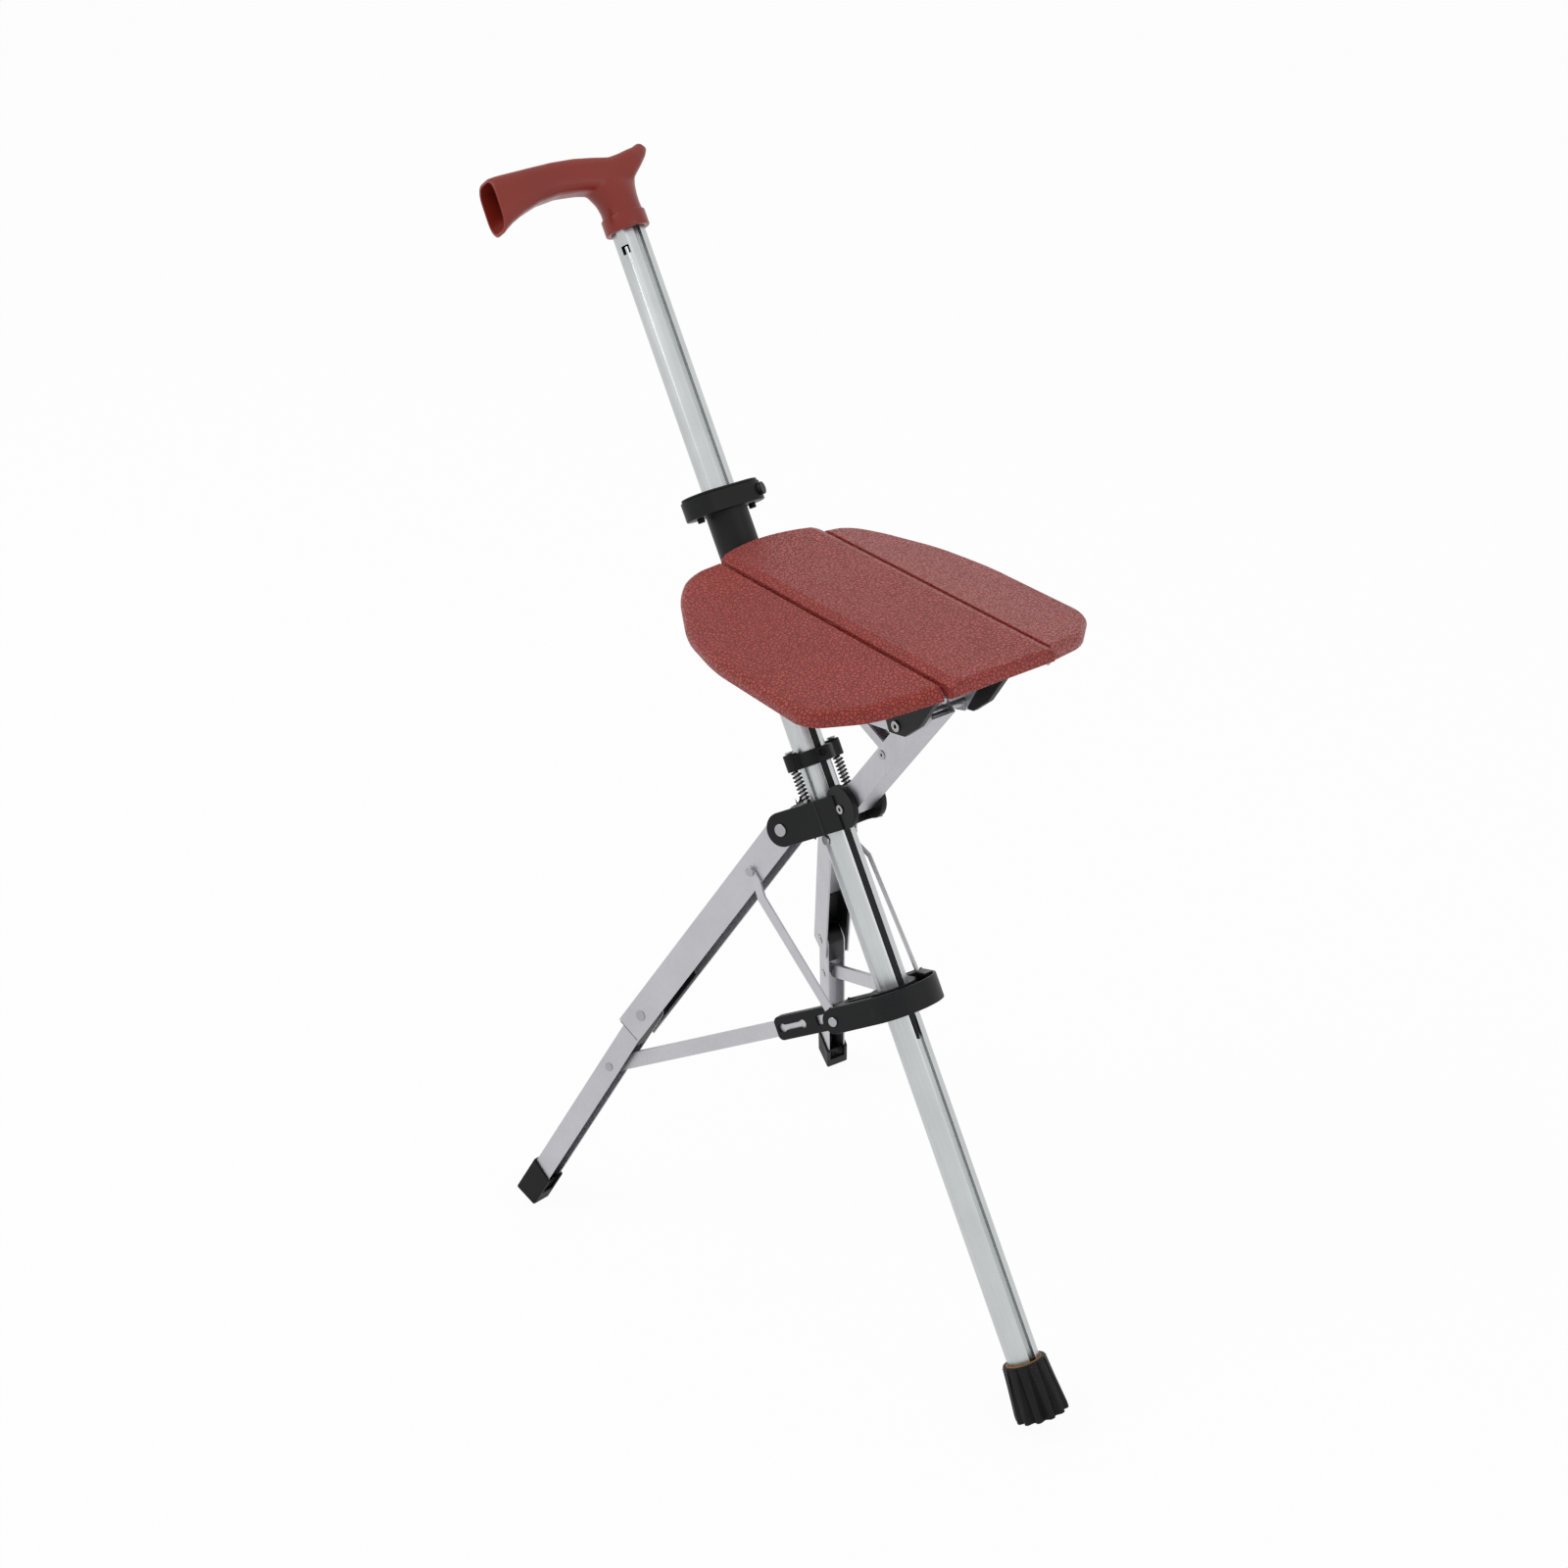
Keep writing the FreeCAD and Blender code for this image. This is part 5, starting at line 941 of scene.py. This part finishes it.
class STICKSEAT_OT_seat(bpy.types.Operator):
    """Finish the seat's middle panel, its rail and the block under it"""
    bl_idname = "stick_seat.seat"
    bl_label = "Middle panel, rail and block"

    def execute(self, context):
        ease_nodes(["seat_middle_panel"], shape().ease * 0.6)
        ease_nodes(["seat_rail"], shape().sheet_ease)
        ease_nodes(["seat_block"], shape().ease)
        return {"FINISHED"}


class STICKSEAT_OT_fasteners(bpy.types.Operator):
    """Finish rivet and screw heads, and give the small parts their metal"""
    bl_idname = "stick_seat.fasteners"
    bl_label = "Rivets, pins and screws"

    def execute(self, context):
        ease_nodes(["leg_pivot_rivets", "ring_rivets"], 0.00055, 4)
        eased = ["strut_pivot_pin", "block_rivets", "hub_cross_pin", "stay_rivet",
                 "collar_screw", "collar_screws", "spring_rods", "collar_knob"]
        for name, _ in SIDES:
            eased += ["knee_rivet_" + name, "bar_rivets_" + name, "link_rivet_" + name]
        ease_nodes(eased, 0.00035, 3)
        for name, part in frame["nodes"].items():
            if part.hide_render:
                continue
            finish = material(SLOT_MATERIALS[slot_of(name)])
            for entry in part.material_slots:
                entry.material = finish
        return {"FINISHED"}


# The share of the floor's look that is plain white; the rest takes the shadow.
FLOOR_WHITE = 0.95


class STICKSEAT_OT_stage(bpy.types.Operator):
    """Set the floor, the lamps, the sky and the camera"""
    bl_idname = "stick_seat.stage"
    bl_label = "Studio"

    def execute(self, context):
        scene = context.scene
        setting = scene.stick_seat_stage
        scene.view_settings.view_transform = "Standard"
        bpy.ops.mesh.primitive_plane_add(size=14.0, location=(0.0, 0.0, -0.0004))
        floor = active_piece("studio_floor")
        surface = bpy.data.materials.new("studio floor")
        surface.use_nodes = True
        tree = surface.node_tree
        tree.nodes.clear()
        out = tree.nodes.new("ShaderNodeOutputMaterial")
        matt = node(tree, "BsdfDiffuse", Color=(*setting.floor, 1.0))
        glow = node(tree, "Emission", Color=(1.0, 1.0, 1.0, 1.0), Strength=1.0)
        path = tree.nodes.new("ShaderNodeLightPath")
        seen = maths(tree, "MAXIMUM", path.outputs["Is Camera Ray"], path.outputs["Is Glossy Ray"])
        mix = tree.nodes.new("ShaderNodeMixShader")
        tree.links.new(maths(tree, "MULTIPLY", seen, FLOOR_WHITE), mix.inputs[0])
        tree.links.new(matt.outputs[0], mix.inputs[1])
        tree.links.new(glow.outputs[0], mix.inputs[2])
        tree.links.new(mix.outputs[0], out.inputs["Surface"])
        floor.data.materials.append(surface)

        sky = bpy.data.worlds.new("studio sky")
        scene.world = sky
        sky.use_nodes = True
        tree = sky.node_tree
        tree.nodes.clear()
        out = tree.nodes.new("ShaderNodeOutputWorld")
        light = node(tree, "Background", Color=(1.0, 1.0, 1.0, 1.0), Strength=setting.daylight)
        shown = node(tree, "Background", Color=(1.0, 1.0, 1.0, 1.0), Strength=1.0)
        path = tree.nodes.new("ShaderNodeLightPath")
        seen = maths(tree, "MAXIMUM", path.outputs["Is Camera Ray"], path.outputs["Is Glossy Ray"])
        seen = maths(tree, "MAXIMUM", seen, path.outputs["Is Transmission Ray"])
        mix = tree.nodes.new("ShaderNodeMixShader")
        tree.links.new(seen, mix.inputs[0])
        tree.links.new(light.outputs[0], mix.inputs[1])
        tree.links.new(shown.outputs[0], mix.inputs[2])
        tree.links.new(mix.outputs[0], out.inputs["Surface"])

        for name, place, size, power in (
                ("key lamp", (-0.9, -1.7, 2.2), 1.3, setting.key),
                ("fill lamp", (2.2, 0.6, 1.6), 1.6, setting.fill)):
            bpy.ops.object.light_add(type="AREA", location=place)
            lamp = bpy.context.active_object
            lamp.name = name
            lamp.data.energy = power
            lamp.data.size = size
            view = Vector((0.0, 0.0, 0.4)) - Vector(place)
            lamp.rotation_euler = view.to_track_quat("-Z", "Y").to_euler()

        turn = (math.radians(90.0) - setting.elevation, 0.0, setting.azimuth)
        bpy.ops.object.camera_add(location=setting.place, rotation=turn)
        camera = bpy.context.active_object
        camera.name = "studio camera"
        camera.data.sensor_fit = "HORIZONTAL"
        camera.data.sensor_width = 36.0
        camera.data.lens = setting.lens
        camera.data.clip_end = 60.0
        scene.camera = camera
        return {"FINISHED"}


class STICKSEAT_PT_panel(bpy.types.Panel):
    bl_label = "Stick seat"
    bl_idname = "STICKSEAT_PT_panel"
    bl_space_type = "VIEW_3D"
    bl_region_type = "UI"
    bl_category = "Stick seat"

    def draw(self, context):
        column = self.layout.column()
        for operator in OPERATORS:
            column.operator(operator.bl_idname)
        for group in (context.scene.stick_seat_finishes, context.scene.stick_seat_shape,
                      context.scene.stick_seat_stage):
            box = self.layout.box()
            for name in group.bl_rna.properties.keys():
                if name not in ("rna_type", "name"):
                    box.prop(group, name)


OPERATORS = (STICKSEAT_OT_handle, STICKSEAT_OT_wings, STICKSEAT_OT_seat, STICKSEAT_OT_springs,
             STICKSEAT_OT_stick, STICKSEAT_OT_collars, STICKSEAT_OT_legs, STICKSEAT_OT_links,
             STICKSEAT_OT_fasteners, STICKSEAT_OT_stage)
GROUPS = {"stick_seat_finishes": StickSeatFinishes, "stick_seat_shape": StickSeatShape,
          "stick_seat_stage": StickSeatStage}


def register():
    for kind in (*GROUPS.values(), *OPERATORS, STICKSEAT_PT_panel):
        bpy.utils.register_class(kind)
    for name, kind in GROUPS.items():
        setattr(bpy.types.Scene, name, bpy.props.PointerProperty(type=kind))


def unregister():
    for name in GROUPS:
        delattr(bpy.types.Scene, name)
    for kind in reversed((*GROUPS.values(), *OPERATORS, STICKSEAT_PT_panel)):
        bpy.utils.unregister_class(kind)


def main():
    register()
    make_materials()
    for operator in OPERATORS:
        family, name = operator.bl_idname.split(".")
        getattr(getattr(bpy.ops, family), name)()
    bpy.context.view_layer.update()


if __name__ == "__main__":
    main()
